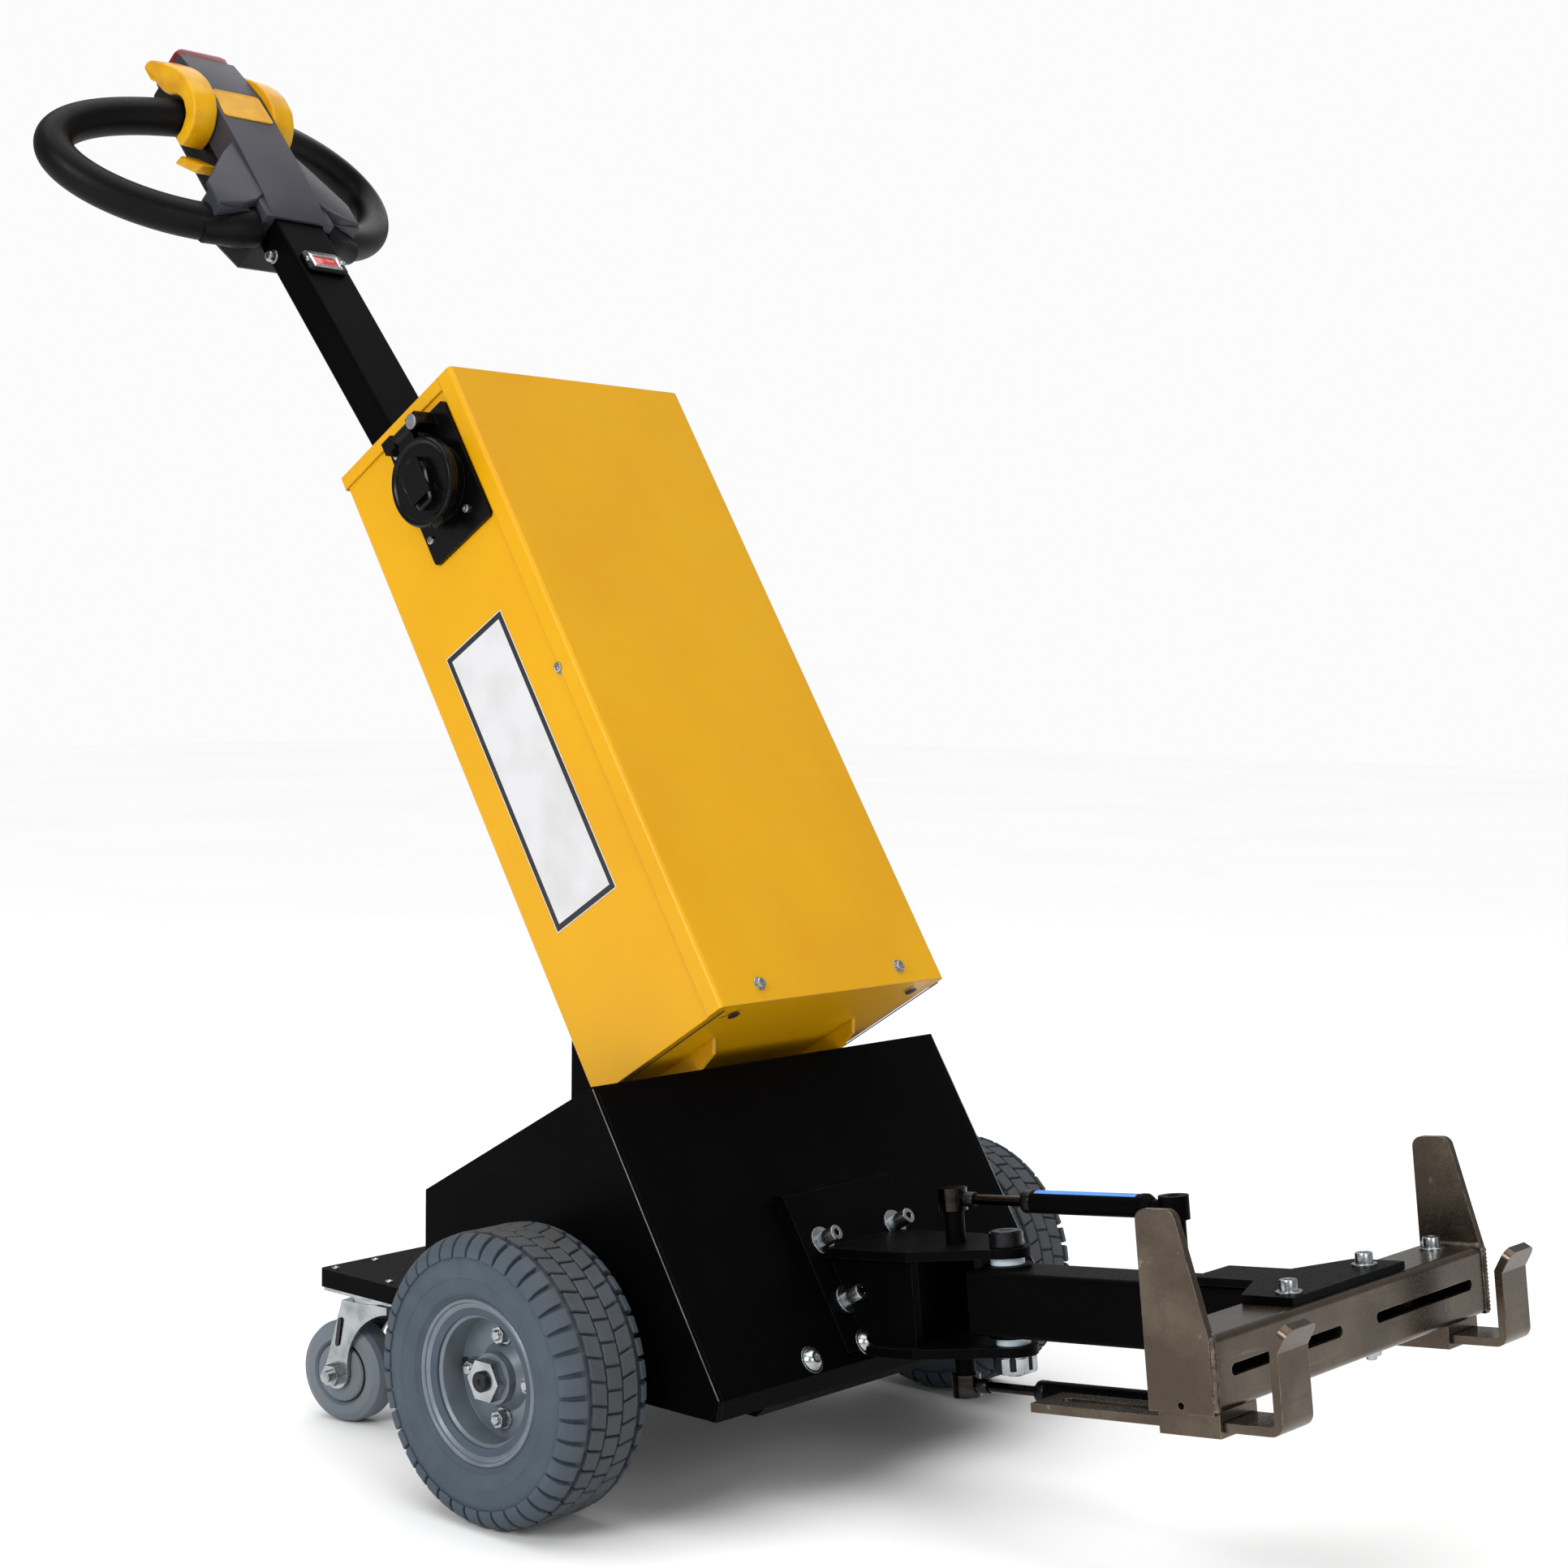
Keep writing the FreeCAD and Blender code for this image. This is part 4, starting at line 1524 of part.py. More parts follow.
def hooks():
    """Slotted strap under the beam, bent up in front of it and outward at its lip."""
    low = f"({STRAP_TOP} - Dim.strap_sheet)"
    face = "(Dim.hook_x + Dim.strap_sheet / 2)"
    back = "(Dim.hook_x - Dim.strap_sheet / 2)"
    tip_x = f"({face} + Dim.hook_lip * sin(Dim.lip_lean))"
    tip_z = "(Dim.hook_rise + Dim.hook_lip * cos(Dim.lip_lean))"
    hook = new_body("hook", HITCH)
    side = new_sketch(hook, "XZ", "Dim.strap_y")
    draw_outline(side, [
        ("Dim.strap_rear", STRAP_TOP),
        ("Dim.strap_rear", low),
        (face, low),
        (face, "Dim.hook_rise"),
        (tip_x, tip_z),
        (f"{tip_x} - Dim.strap_sheet * cos(Dim.lip_lean)",
         f"{tip_z} + Dim.strap_sheet * sin(Dim.lip_lean)"),
        (back, "Dim.hook_rise + Dim.strap_sheet * tan(Dim.lip_lean / 2)"),
        (back, STRAP_TOP),
    ])
    pad(hook, side, "Dim.strap_width", middle=True)
    bottom, top = number(low), number(STRAP_TOP)
    front, rear = number(face), number(back)
    fillet(hook, lambda at, run: abs(at.z - bottom) < 0.01 and abs(at.x - front) < 0.01,
           "Dim.strap_sheet + Dim.strap_bend")
    fillet(hook, lambda at, run: abs(at.z - top) < 0.01 and abs(at.x - rear) < 0.01,
           "Dim.strap_bend")
    tip = number(tip_z)
    thick = number("Dim.strap_sheet + Dim.overlap")
    fillet(hook, lambda at, run: at.z > tip and abs(run.y) < 0.01 and run.Length < thick,
           "Dim.lip_corner")
    slot = new_sketch(hook, "XY", STRAP_TOP)
    end = "Dim.strap_slot / 2"
    draw_slot(slot, f"Dim.strap_rear + Dim.strap_slot_end + {end}",
              f"Dim.guide_x + Dim.guide_length / 2 - {end}", "-Dim.strap_y", "Dim.strap_slot")
    pocket(hook, slot, "Dim.strap_sheet")
    both_sides("hooks", hook)


def hook_guides():
    """Closed sleeve under the beam that the strap slides in."""
    inner = "(Dim.strap_width / 2 + Dim.seat_gap)"
    floor = f"({STRAP_TOP} - Dim.strap_sheet - Dim.seat_gap)"
    half = f"({inner} + Dim.guide_sheet)"
    guide = new_body("hook_guide", HITCH)
    section = new_sketch(guide, "YZ", "Dim.guide_x")
    draw_rectangle(section, f"-Dim.strap_y - {half}", f"-Dim.strap_y + {half}",
                   f"{floor} - Dim.guide_sheet", GUIDE_HIGH)
    draw_rectangle(section, f"-Dim.strap_y - {inner}", f"-Dim.strap_y + {inner}",
                   floor, f"{STRAP_TOP} + Dim.seat_gap")
    pad(guide, section, "Dim.guide_length", middle=True)
    both_sides("hook_guides", guide)


# ---- gas springs ---------------------------------------------------------------------------------

def spring_station(name):
    """The spring's own frame: on the arm's middle plane at the spring's level."""
    turn = {"upper": "Dim.spring_upper", "lower": "-Dim.spring_lower"}[name]
    return (f"Dim.axle_x + Dim.pin_x - {turn} * sin(Dim.hitch_pitch)", "0",
            f"Dim.pin_z + {turn} * cos(Dim.hitch_pitch)", "Dim.hitch_pitch")


def gas_cylinder(name):
    """Cylinder with its end fitting on the arm's stud and a gland round the rod."""
    station = spring_station(name)
    body = new_body(f"gas_cylinder_{name}", station)
    tube = new_sketch(body, "YZ", "Dim.spring_tube_rear")
    draw_circle(tube, "0", "0", "Dim.spring_tube / 2")
    pad(body, tube, "Dim.stud_front - Dim.spring_tube_rear - Dim.eye_diameter")
    neck = new_sketch(body, "YZ", "Dim.stud_front")
    draw_circle(neck, "0", "0", "Dim.spring_neck / 2")
    pad(body, neck, "Dim.eye_diameter + Dim.overlap", backward=True)
    eye = new_sketch(body, "XY")
    draw_circle(eye, "Dim.stud_front", "0", "Dim.eye_diameter / 2")
    pad(body, eye, "Dim.eye_height", middle=True)
    hole = new_sketch(body, "XY")
    draw_circle(hole, "Dim.stud_front", "0", "Dim.stud_diameter / 2 + Dim.running_fit")
    pocket(body, hole, "Dim.eye_height + Dim.overlap", middle=True)
    gland = new_sketch(body, "YZ", "Dim.spring_tube_rear")
    draw_circle(gland, "0", "0", "Dim.spring_rod / 2 + Dim.rod_fit")
    pocket(body, gland, "Dim.spring_tube / 2", backward=True)
    chamber = new_sketch(body, "YZ", "Dim.spring_tube_rear + Dim.spring_tube / 2")
    draw_circle(chamber, "0", "0", "Dim.spring_tube / 2 - Dim.spring_wall")
    pocket(body, chamber, "Dim.rod_inner + Dim.eye_diameter - Dim.spring_tube_rear", backward=True)
    keep(body, f"gas_cylinder_{name}")


def gas_rod(name):
    """Rod with its end fitting over the bracket's stud."""
    station = spring_station(name)
    body = new_body(f"gas_rod_{name}", station)
    rod = new_sketch(body, "YZ", "-Dim.stud_rear")
    draw_circle(rod, "0", "0", "Dim.spring_rod / 2")
    pad(body, rod, "Dim.stud_rear + Dim.rod_inner")
    eye = new_sketch(body, "XY")
    draw_circle(eye, "-Dim.stud_rear", "0", "Dim.eye_diameter / 2")
    pad(body, eye, "Dim.eye_height", middle=True)
    neck = new_sketch(body, "YZ", "-Dim.stud_rear")
    draw_circle(neck, "0", "0", "Dim.spring_neck / 2")
    pad(body, neck, "Dim.eye_diameter")
    keep(body, f"gas_rod_{name}")


# ---- the whole machine ---------------------------------------------------------------------------

side_plates()
front_plate()
rear_cover()
belly_pan()
rear_platform()
cradle()
box_shell()
box_front_cover()
box_top_cap()
box_bottom_plate()
box_gussets()
battery_pack()
inlet_plate()
inlet_lid()
tiller_bracket()
tiller_tube()
head_base()
head_cover()
handle_loop()
thumb_wings()
horn_buttons()
belly_switch()
transaxle()
drive_motor()
axle_bearings()
drive_tyres()
drive_rims()
drive_axles()
caster_plates()
caster_forks()
caster_wheels()
hitch_bracket()
hitch_pin()
nylon_washers()
tow_arm()
tee_plate()
cross_beam()
uprights()
hooks()
hook_guides()
for spring in ("upper", "lower"):
    gas_cylinder(spring)
    gas_rod(spring)
DOC.recompute()

for item in DOC.Objects:
    if "Invalid" in item.State or "Error" in item.State:
        raise RuntimeError(f"{item.Name} is {item.State}")
for node in NODES:
    if node.Shape.isNull() or not node.Shape.isValid() or not node.Shape.Solids:
        raise RuntimeError(f"{node.Label} has no valid solid")
    if len(node.Label) >= 60:
        raise RuntimeError(f"{node.Label} is too long a name")

os.makedirs("parts", exist_ok=True)
for node in NODES:
    node.Shape.exportStep(f"parts/{node.Label}.step")
    print(node.Label, len(node.Shape.Solids), round(node.Shape.Volume))
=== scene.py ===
"""Visible model of an electric tow tug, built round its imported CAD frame.

A tilted battery box on a folded chassis, two driven wheels with block treads, two swivel casters, a tiller
with a ring handle and a hook beam that swings on a pinned arm. Pieces are drawn in millimetres in the frame
of the part that they sit on, and fit() puts them in place.
"""

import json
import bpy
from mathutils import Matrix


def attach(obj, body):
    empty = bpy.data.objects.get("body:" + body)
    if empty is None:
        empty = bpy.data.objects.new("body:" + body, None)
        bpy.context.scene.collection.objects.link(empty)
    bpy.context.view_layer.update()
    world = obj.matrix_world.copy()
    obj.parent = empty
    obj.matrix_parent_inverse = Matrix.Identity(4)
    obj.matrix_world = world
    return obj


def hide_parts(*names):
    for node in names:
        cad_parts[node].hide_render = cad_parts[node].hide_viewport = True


bl_info = {
    "name": "Tow Tug Looks",
    "version": (1, 0, 0),
    "blender": (4, 5, 0),
    "location": "3D View > Sidebar > Tow Tug",
    "description": "Models the finishes, treads, fasteners and controls of an electric tow tug",
    "category": "Object",
}

from functools import cache
from math import cos, pi, radians, sin, sqrt

import bmesh
import bpy
from bpy.props import FloatProperty, FloatVectorProperty, IntProperty, PointerProperty
from mathutils import Matrix, Vector

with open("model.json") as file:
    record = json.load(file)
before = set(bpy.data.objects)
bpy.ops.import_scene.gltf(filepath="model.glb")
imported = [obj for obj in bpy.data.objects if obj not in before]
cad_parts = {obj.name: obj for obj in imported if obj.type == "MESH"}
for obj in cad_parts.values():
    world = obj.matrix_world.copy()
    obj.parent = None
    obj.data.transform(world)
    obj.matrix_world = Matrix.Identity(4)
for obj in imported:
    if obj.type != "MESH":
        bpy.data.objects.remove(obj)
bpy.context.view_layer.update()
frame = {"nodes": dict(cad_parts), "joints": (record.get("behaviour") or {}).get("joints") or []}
JOINTS = {joint["name"]: joint for joint in frame["joints"]}
MM = 0.001
AXLE = Vector(JOINTS["drive_wheel_right_spin"]["pos_m"]) / MM
SIDES = {"right": -1, "left": 1}


def leaning(forward, height, lean):
    """The frame of a leaning part in millimetres: its origin ahead of the drive axle and above the floor."""
    return (
        Matrix.Scale(MM, 4)
        @ Matrix.Translation((AXLE.x + forward, 0, height))
        @ Matrix.Rotation(-radians(lean), 4, "Y")
    )


BOX = leaning(93.0, 396.5, 32.15)
TILLER = leaning(-356.68, 781.79, 40.0)
HITCH = leaning(274.0, 171.0, 6.5)
MIRROR = Matrix.Scale(-1, 4, (0, 1, 0))


# Sizes and colours


def linear(code):
    """Linear red, green, blue and alpha of an sRGB hex colour."""
    parts = [int(code[i : i + 2], 16) / 255 for i in (1, 3, 5)]
    return [p / 12.92 if p <= 0.04045 else ((p + 0.055) / 1.055) ** 2.4 for p in parts] + [1.0]


def colour(name, description, code):
    """A colour that the sidebar shows."""
    return FloatVectorProperty(
        name=name, description=description, subtype="COLOR", size=4, min=0, max=1, default=linear(code)
    )


def length(name, description, size):
    """A length that the sidebar shows, given in millimetres."""
    return FloatProperty(name=name, description=description, unit="LENGTH", min=0, default=size * MM)


class TugColours(bpy.types.PropertyGroup):
    """Colours of the tug's paints and plastics."""

    box: colour("Box", "Powder paint of the battery box", "#D29B02")
    sheet: colour("Sheet", "Powder paint of the chassis, tiller and arm", "#030304")
    cover: colour("Cover", "Moulded cover of the head", "#34343D")
    lever: colour("Levers", "Thumb levers, horn buttons and head plate", "#D8A204")
    stop: colour("Switch", "Belly switch on the head's end", "#6A050A")
    tread: colour("Tyres", "Rubber of the drive tyres", "#3E4953")
    rim: colour("Rims", "Paint of the drive rims", "#6E777F")
    caster: colour("Casters", "Rubber of the caster wheels", "#616C76")
    stripe: colour("Stripe", "Band on the upper gas spring", "#2380D8")


class TugTread(bpy.types.PropertyGroup):
    """Sizes of the drive tyres' tread."""

    pitches: IntProperty(name="Pitches", description="Blocks round the tyre", default=40, min=24, max=72)
    depth: length("Depth", "Depth of the tread's grooves", 3.4)
    groove: length("Groove", "Width of the grooves across the tread", 2.2)
    slant: length("Slant", "Lead of a block from one edge to the other", 3.6)


class TugLabel(bpy.types.PropertyGroup):
    """Sizes of the bare label on the box."""

    width: length("Width", "Width of the label", 81)
    height: length("Height", "Height of the label", 267)
    margin: length("Margin", "White margin outside the border", 0.8)
    border: length("Border", "Width of the black border", 5)


class TugHardware(bpy.types.PropertyGroup):
    """Sizes of the screws and bolts."""

    wheel_bolt: length("Wheel bolt", "Width over flats of the wheel bolts", 13)
    plate_screw: length("Plate screw", "Head of the bracket's cap screws", 13)
    panel_screw: length("Panel screw", "Head of the box's screws", 9)


# Modelling


def clear():
    """Leaves edit mode and selects nothing."""
    if bpy.context.object and bpy.context.object.mode != "OBJECT":
        bpy.ops.object.mode_set(mode="OBJECT")
    bpy.ops.object.select_all(action="DESELECT")


def choose(*pieces):
    """Selects these pieces alone; the first becomes the active one."""
    clear()
    for piece in pieces:
        piece.select_set(True)
    bpy.context.view_layer.objects.active = pieces[0]


def copied(piece):
    """A copy of a piece with its own mesh, selected alone."""
    choose(piece)
    bpy.ops.object.duplicate()
    return bpy.context.object


def start(name, kind, **settings):
    """Adds a primitive at its size and place and opens it for editing."""
    clear()
    getattr(bpy.ops.mesh, f"primitive_{kind}_add")(**settings)
    piece = bpy.context.object
    piece.name = piece.data.name = name
    bpy.ops.object.transform_apply(location=True, rotation=True, scale=True)
    bpy.ops.object.mode_set(mode="EDIT")
    bpy.ops.mesh.select_mode(type="VERT")
    return piece


def pick(kind, test):
    """Selects the vertices, edges or faces whose middle and normal (or direction) pass the test."""
    bpy.ops.mesh.select_mode(type=kind)
    bpy.ops.mesh.select_all(action="DESELECT")
    mesh = bmesh.from_edit_mesh(bpy.context.object.data)
    if kind == "FACE":
        for face in mesh.faces:
            face.select_set(test(face.calc_center_median(), face.normal))
    elif kind == "EDGE":
        for edge in mesh.edges:
            near, far = (vert.co for vert in edge.verts)
            edge.select_set(test((near + far) / 2, (far - near).normalized()))
    else:
        for vert in mesh.verts:
            vert.select_set(test(vert.co, vert.normal))
    mesh.select_flush_mode()
    bmesh.update_edit_mesh(bpy.context.object.data)


def everything():
    """Selects all of the piece in edit mode."""
    bpy.ops.mesh.select_all(action="SELECT")


def open_all():
    """Opens the active piece for editing with all of it selected."""
    bpy.ops.object.mode_set(mode="EDIT")
    everything()


def pull(x, y, z):
    """Extrudes what is selected."""
    bpy.ops.mesh.extrude_region_move(TRANSFORM_OT_translate={"value": (x, y, z)})


def shift(x, y, z):
    """Moves what is selected."""
    bpy.ops.transform.translate(value=(x, y, z))


def swell(scale, middle=(0, 0, 0)):
    """Resizes what is selected about a point."""
    bpy.ops.transform.resize(value=scale, center_override=middle)


def round_corners(offset, segments):
    """Rounds every corner of a flat piece."""
    everything()
    bpy.ops.mesh.bevel(offset=offset, segments=segments, affect="VERTICES", clamp_overlap=True)


def inset(border, rise=0.0):
    """Insets the selected faces by a border and raises or sinks what is inside it."""
    bpy.ops.mesh.inset(thickness=border, depth=rise)


def heal():
    """Merges the piece's doubles and points its faces outwards."""
    everything()
    bpy.ops.mesh.remove_doubles(threshold=0.004)
    bpy.ops.mesh.normals_make_consistent(inside=False)


def trace(name, points, closed=False):
    """Draws a line from point to point with an extruded vertex; a closed one gets a face."""
    piece = start(name, "plane", size=1)
    everything()
    bpy.ops.mesh.merge(type="CENTER")
    shift(*points[0])
    for here, there in zip(points, points[1:] + points[:1] * closed):
        pull(*(Vector(there) - Vector(here)))
    everything()
    if closed:
        bpy.ops.mesh.remove_doubles(threshold=0.004)
        everything()
        bpy.ops.mesh.edge_face_add()
    return piece


def turn(name, profile, steps=32):
    """Spins a profile of (radius, height) round Z; a ring's profile ends where it starts."""
    piece = trace(name, [(radius, 0, height) for radius, height in profile])
    bpy.ops.mesh.spin(steps=steps, angle=2 * pi, center=(0, 0, 0), axis=(0, 0, 1))
    heal()
    return piece


def slab(name, outline, depth, rounding=0.0, segments=2):
    """An outline drawn in a plane, extruded by a vector, its edges rounded."""
    piece = trace(name, outline, closed=True)
    pull(*depth)
    heal()
    if rounding:
        bpy.ops.mesh.bevel(offset=rounding, segments=segments, affect="EDGES")
    return piece


def flow(radius, height, profile):
    """Extrudes the selected loop of this radius and height through the radii and heights of a profile."""
    for wide, high in profile:
        bpy.ops.mesh.extrude_edges_move(TRANSFORM_OT_translate={"value": (0, 0, high - height)})
        swell((wide / radius, wide / radius, 1), (0, 0, high))
        radius, height = wide, high


def join(name, *pieces):
    """Makes one piece of several."""
    choose(*pieces)
    bpy.ops.object.join()
    pieces[0].name = pieces[0].data.name = name
    return pieces[0]


def fit(piece, places, body, slot, finish=None, replaces=(), smooth=35):
    """Puts a copy of a modelled piece at each place, in the copy's own mesh, and lets it ride on its body.

    A piece without a finish of its own gets the given one, or else the one of its slot.
    """
    name = piece.name
    piece.name = "pattern"
    for number, place in enumerate(places, 1):
        twin = copied(piece)
        twin.name = twin.data.name = f"{name}_{number}" if len(places) > 1 else name
        twin.matrix_world = place
        bpy.ops.object.transform_apply(location=True, rotation=True, scale=True)
        if place.determinant() < 0:
            open_all()
            bpy.ops.mesh.normals_make_consistent(inside=False)
            bpy.ops.object.mode_set(mode="OBJECT")
        if smooth:
            bpy.ops.object.shade_smooth_by_angle(angle=radians(smooth))
        dress(twin, body, slot, finish, replaces)
    bpy.data.objects.remove(piece)


def dress(piece, body, slot, finish=None, replaces=()):
    """Gives a piece its finish, hangs it on its body's empty and hides the nodes that it stands for."""
    if not piece.data.materials:
        piece.data.materials.append((finish or FINISHES[slot])())
    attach(piece, body)
    if replaces:
        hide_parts(*replaces)


def to(x, y, z):
    """A move by millimetres."""
    return Matrix.Translation((x, y, z))


def facing(axis, angle):
    """A turn by degrees about X, Y or Z."""
    return Matrix.Rotation(radians(angle), 4, axis)


def spot(point):
    """The frame of a point given in millimetres, unturned."""
    return Matrix.Scale(MM, 4) @ Matrix.Translation(point)


def both(base, inner=Matrix()):
    """A place and its mirror image on the tug's other side."""
    return [base @ inner, base @ MIRROR @ inner]


def ahead(base, x, y, z):
    """A place on a face that looks ahead, with local Z out of it."""
    return base @ to(x, y, z) @ facing("Y", 90)


def on_side(x, y, z):
    """A place on the box's right side, with local Z out of it."""
    return BOX @ to(x, y, z) @ facing("X", 90)


def across(x, points):
    """An outline of (y, z) points drawn at one x."""
    return [(x, y, z) for y, z in points]


def oblong(wide, high):
    """The corners of an oblong of these half widths about the origin."""
    return [(-wide, -high), (wide, -high), (wide, high), (-wide, high)]


def ring(name, bore, outer, thick, rounding=0.3):
    """A washer with rounded rims, its foot at z 0."""
    inner, rim, cut = bore / 2, outer / 2, rounding
    foot = [(inner, 0), (rim - cut, 0), (rim, cut), (rim, thick - cut)]
    top = [(rim - cut, thick), (inner + cut, thick), (inner, thick - cut), (inner, 0)]
    return turn(name, foot + top)


def socket_screw(name, head, height, key, rim=1.0, washer=0, thick=1.6):
    """A cap screw's head with a hexagon socket, on a washer if it has one, its foot at z 0."""
    foot = thick if washer else 0
    top, bore = foot + height, key / sqrt(3)
    outer, flat = head / 2, head / 2 - rim
    piece = start(name, "circle", vertices=24, radius=flat, location=(0, 0, top))
    bpy.ops.mesh.primitive_circle_add(vertices=6, radius=bore, location=(0, 0, top))
    everything()
    bpy.ops.mesh.bridge_edge_loops()
    pick("EDGE", lambda at, _: at.xy.length < bore)
    flow(bore, top, [(bore * 0.9, top - rim * 0.3), (bore * 0.88, top - height * 0.5)])
    bpy.ops.mesh.edge_face_add()
    pick("EDGE", lambda at, _: at.xy.length > flat * 0.97)
    flow(flat, top, [(outer - rim * 0.3, top - rim * 0.3), (outer, top - rim), (outer, foot)])
    if washer:
        flow(outer, foot, [(washer / 2 - 0.3, foot), (washer / 2, foot - 0.3), (washer / 2, 0)])
    bpy.ops.mesh.edge_face_add()
    heal()
    return piece


def hex_bolt(name, flats, height, washer, stub=0.0, thread=0.0):
    """A hexagon head or nut on a washer, with the bolt's end standing out of it."""
    corner, foot = flats / sqrt(3), 1.6
    head = start(name, "circle", vertices=6, radius=corner, location=(0, 0, foot))
    top = foot + height
    flow(corner, foot, [(corner, height * 0.86 + foot), (corner * 0.93, top), (corner * 0.6, top)])
    bpy.ops.mesh.edge_face_add()
    heal()
    parts = [head, ring(name + "_washer", 2, washer, foot)]
    if stub:
        end, r = top + stub, thread / 2
        parts.append(turn(name + "_end", [(0, 1), (r, 1), (r, end - 0.8), (r - 0.8, end), (0, end)], 20))
    return join(name, *parts)


# Materials


def node(tree, kind, values=None, links=None, **settings):
    """Adds a shader node with its settings, its input values and its links; a hex colour turns linear."""
    added = tree.nodes.new("ShaderNode" + kind)
    for name, value in settings.items():
        setattr(added, name, value)
    for socket, value in (values or {}).items():
        added.inputs[socket].default_value = linear(value) if isinstance(value, str) else value
    for socket, source in (links or {}).items():
        tree.links.new(source, added.inputs[socket])
    return added


def surface(
    name, first, second, patches, rough, grain, height, rounding=0.7, stretch=(1, 1, 1), **constants
):
    """A material whose colour drifts to a second one in patches, with one grain for its gloss and its relief.

    The millimetres are patches, the size of the colour's clouds, grain and height, the size and the depth
    of the grain, and rounding, how round a sharp edge looks.
    """
    made = bpy.data.materials.new(name)
    made.use_nodes = True
    tree = made.node_tree
    shader = tree.nodes["Principled BSDF"]
    for socket, value in constants.items():
        shader.inputs[socket.replace("_", " ")].default_value = value
    place = node(tree, "TexCoord").outputs["Object"]
    laid = node(tree, "Mapping", {"Scale": stretch}, {"Vector": place}).outputs[0]
    cloud = node(tree, "TexNoise", {"Scale": 1 / (patches * MM), "Detail": 4}, {"Vector": laid})
    share = node(tree, "MapRange", {1: 0.4, 2: 0.66}, {0: cloud.outputs[0]})
    tint = node(tree, "Mix", {6: first, 7: second}, {0: share.outputs[0]}, data_type="RGBA")
    fine = node(tree, "TexNoise", {"Scale": 1 / (grain * MM), "Detail": 2}, {"Vector": laid})
    gloss = node(tree, "MapRange", {1: 0.3, 2: 0.7, 3: rough[0], 4: rough[1]}, {0: fine.outputs[0]})
    soft = node(tree, "Bevel", {"Radius": rounding * MM}, samples=4)
    relief = node(
        tree, "Bump", {"Distance": height * MM}, {"Height": fine.outputs[0], "Normal": soft.outputs[0]}
    )
    tree.links.new(tint.outputs[2], shader.inputs["Base Color"])
    tree.links.new(gloss.outputs[0], shader.inputs["Roughness"])
    tree.links.new(relief.outputs[0], shader.inputs["Normal"])
    return made, tree, place


def stain(made, factor, second):
    """Lays another colour over a material's own where the factor says."""
    tree = made.node_tree
    base = tree.nodes["Principled BSDF"].inputs["Base Color"]
    over = node(tree, "Mix", {7: second}, {0: factor, 6: base.links[0].from_socket}, data_type="RGBA")
    tree.links.new(over.outputs[2], base)


def from_above(tree, place, low, high, size, strength):
    """A factor that is strong on faces that look up and broken up by clouds of a size, as settled dust is."""
    up = node(tree, "SeparateXYZ", links={0: node(tree, "NewGeometry").outputs["Normal"]})
    level = node(tree, "MapRange", {1: low, 2: high}, {0: up.outputs[2]})
    cloud = node(tree, "TexNoise", {"Scale": 1 / (size * MM), "Detail": 5}, {"Vector": place})
    spread = node(tree, "MapRange", {1: 0.35, 2: 0.75, 4: strength}, {0: cloud.outputs[0]})
    return node(
        tree, "Math", links={0: level.outputs[0], 1: spread.outputs[0]}, operation="MULTIPLY"
    ).outputs[0]


def edges(tree, place, radius, strength):
    """A factor for a painted highlight: strong on sharp edges and broken up along them in clouds."""
    soft = node(tree, "Bevel", {"Radius": radius * MM}, samples=6)
    flat = node(tree, "NewGeometry").outputs["Normal"]
    turned = node(tree, "VectorMath", links={0: soft.outputs[0], 1: flat}, operation="DOT_PRODUCT")
    sharp = node(tree, "MapRange", {1: 0.985, 2: 0.9}, {0: turned.outputs["Value"]})
    cloud = node(tree, "TexNoise", {"Scale": 1 / (9 * MM), "Detail": 4}, {"Vector": place})
    broken = node(tree, "MapRange", {1: 0.35, 2: 0.6, 4: strength}, {0: cloud.outputs[0]})
    return node(
        tree, "Math", links={0: sharp.outputs[0], 1: broken.outputs[0]}, operation="MULTIPLY"
    ).outputs[0]


@cache
def powder_paint_yellow():
    """Polyester powder paint, sprayed and baked: a smooth gloss film that hardly drifts in colour.

    The cells of its orange peel are 1.5 mm on the real sheet and 3 mm here, to show.
    """
    shade = bpy.context.scene.tug_colours.box
    deep = [value * share for value, share in zip(shade, (0.95, 0.91, 0.8, 1))]
    made, tree, place = surface(
        "powder_paint_yellow", shade, deep, 160, (0.3, 0.38), 3.0, 0.03, 1.6,
        IOR=1.5, Specular_IOR_Level=0.25, Coat_Weight=0.08, Coat_Roughness=0.15,
    )
    stain(made, from_above(tree, place, 0.3, 1.0, 45, 0.05), "#B9A98A")
    return made


@cache
def powder_paint_black():
    """Semi-gloss black powder paint on folded steel: a fine orange peel, pale dust on what looks up and a
    painted grey highlight along its sharp edges.

    The peel is drawn at 2.5 mm, twice its real size, to show.
    """
    shade = bpy.context.scene.tug_colours.sheet
    made, tree, place = surface(
        "powder_paint_black", shade, "#050506", 90, (0.38, 0.5), 2.5, 0.03, 0.8,
        IOR=1.5, Specular_IOR_Level=0.025,
    )
    stain(made, from_above(tree, place, 0.9, 1.0, 30, 0.05), "#4E4B47")
    # Painted highlight: a grey line along the sheet's sharp edges.
    stain(made, edges(tree, place, 0.7, 0.3), "#4A4845")
    return made


@cache
def moulded_black_plastic():
    """Injection-moulded black ABS: satin, with a spark-eroded grain of 0.6 mm, drawn at 1.5 mm to show."""
    made, tree, place = surface(
        "moulded_black_plastic", "#030304", "#060607", 40, (0.22, 0.32), 1.5, 0.02, 1.0,
        IOR=1.53, Specular_IOR_Level=0.16,
    )
    stain(made, from_above(tree, place, 0.5, 1.0, 22, 0.12), "#5A5650")
    return made


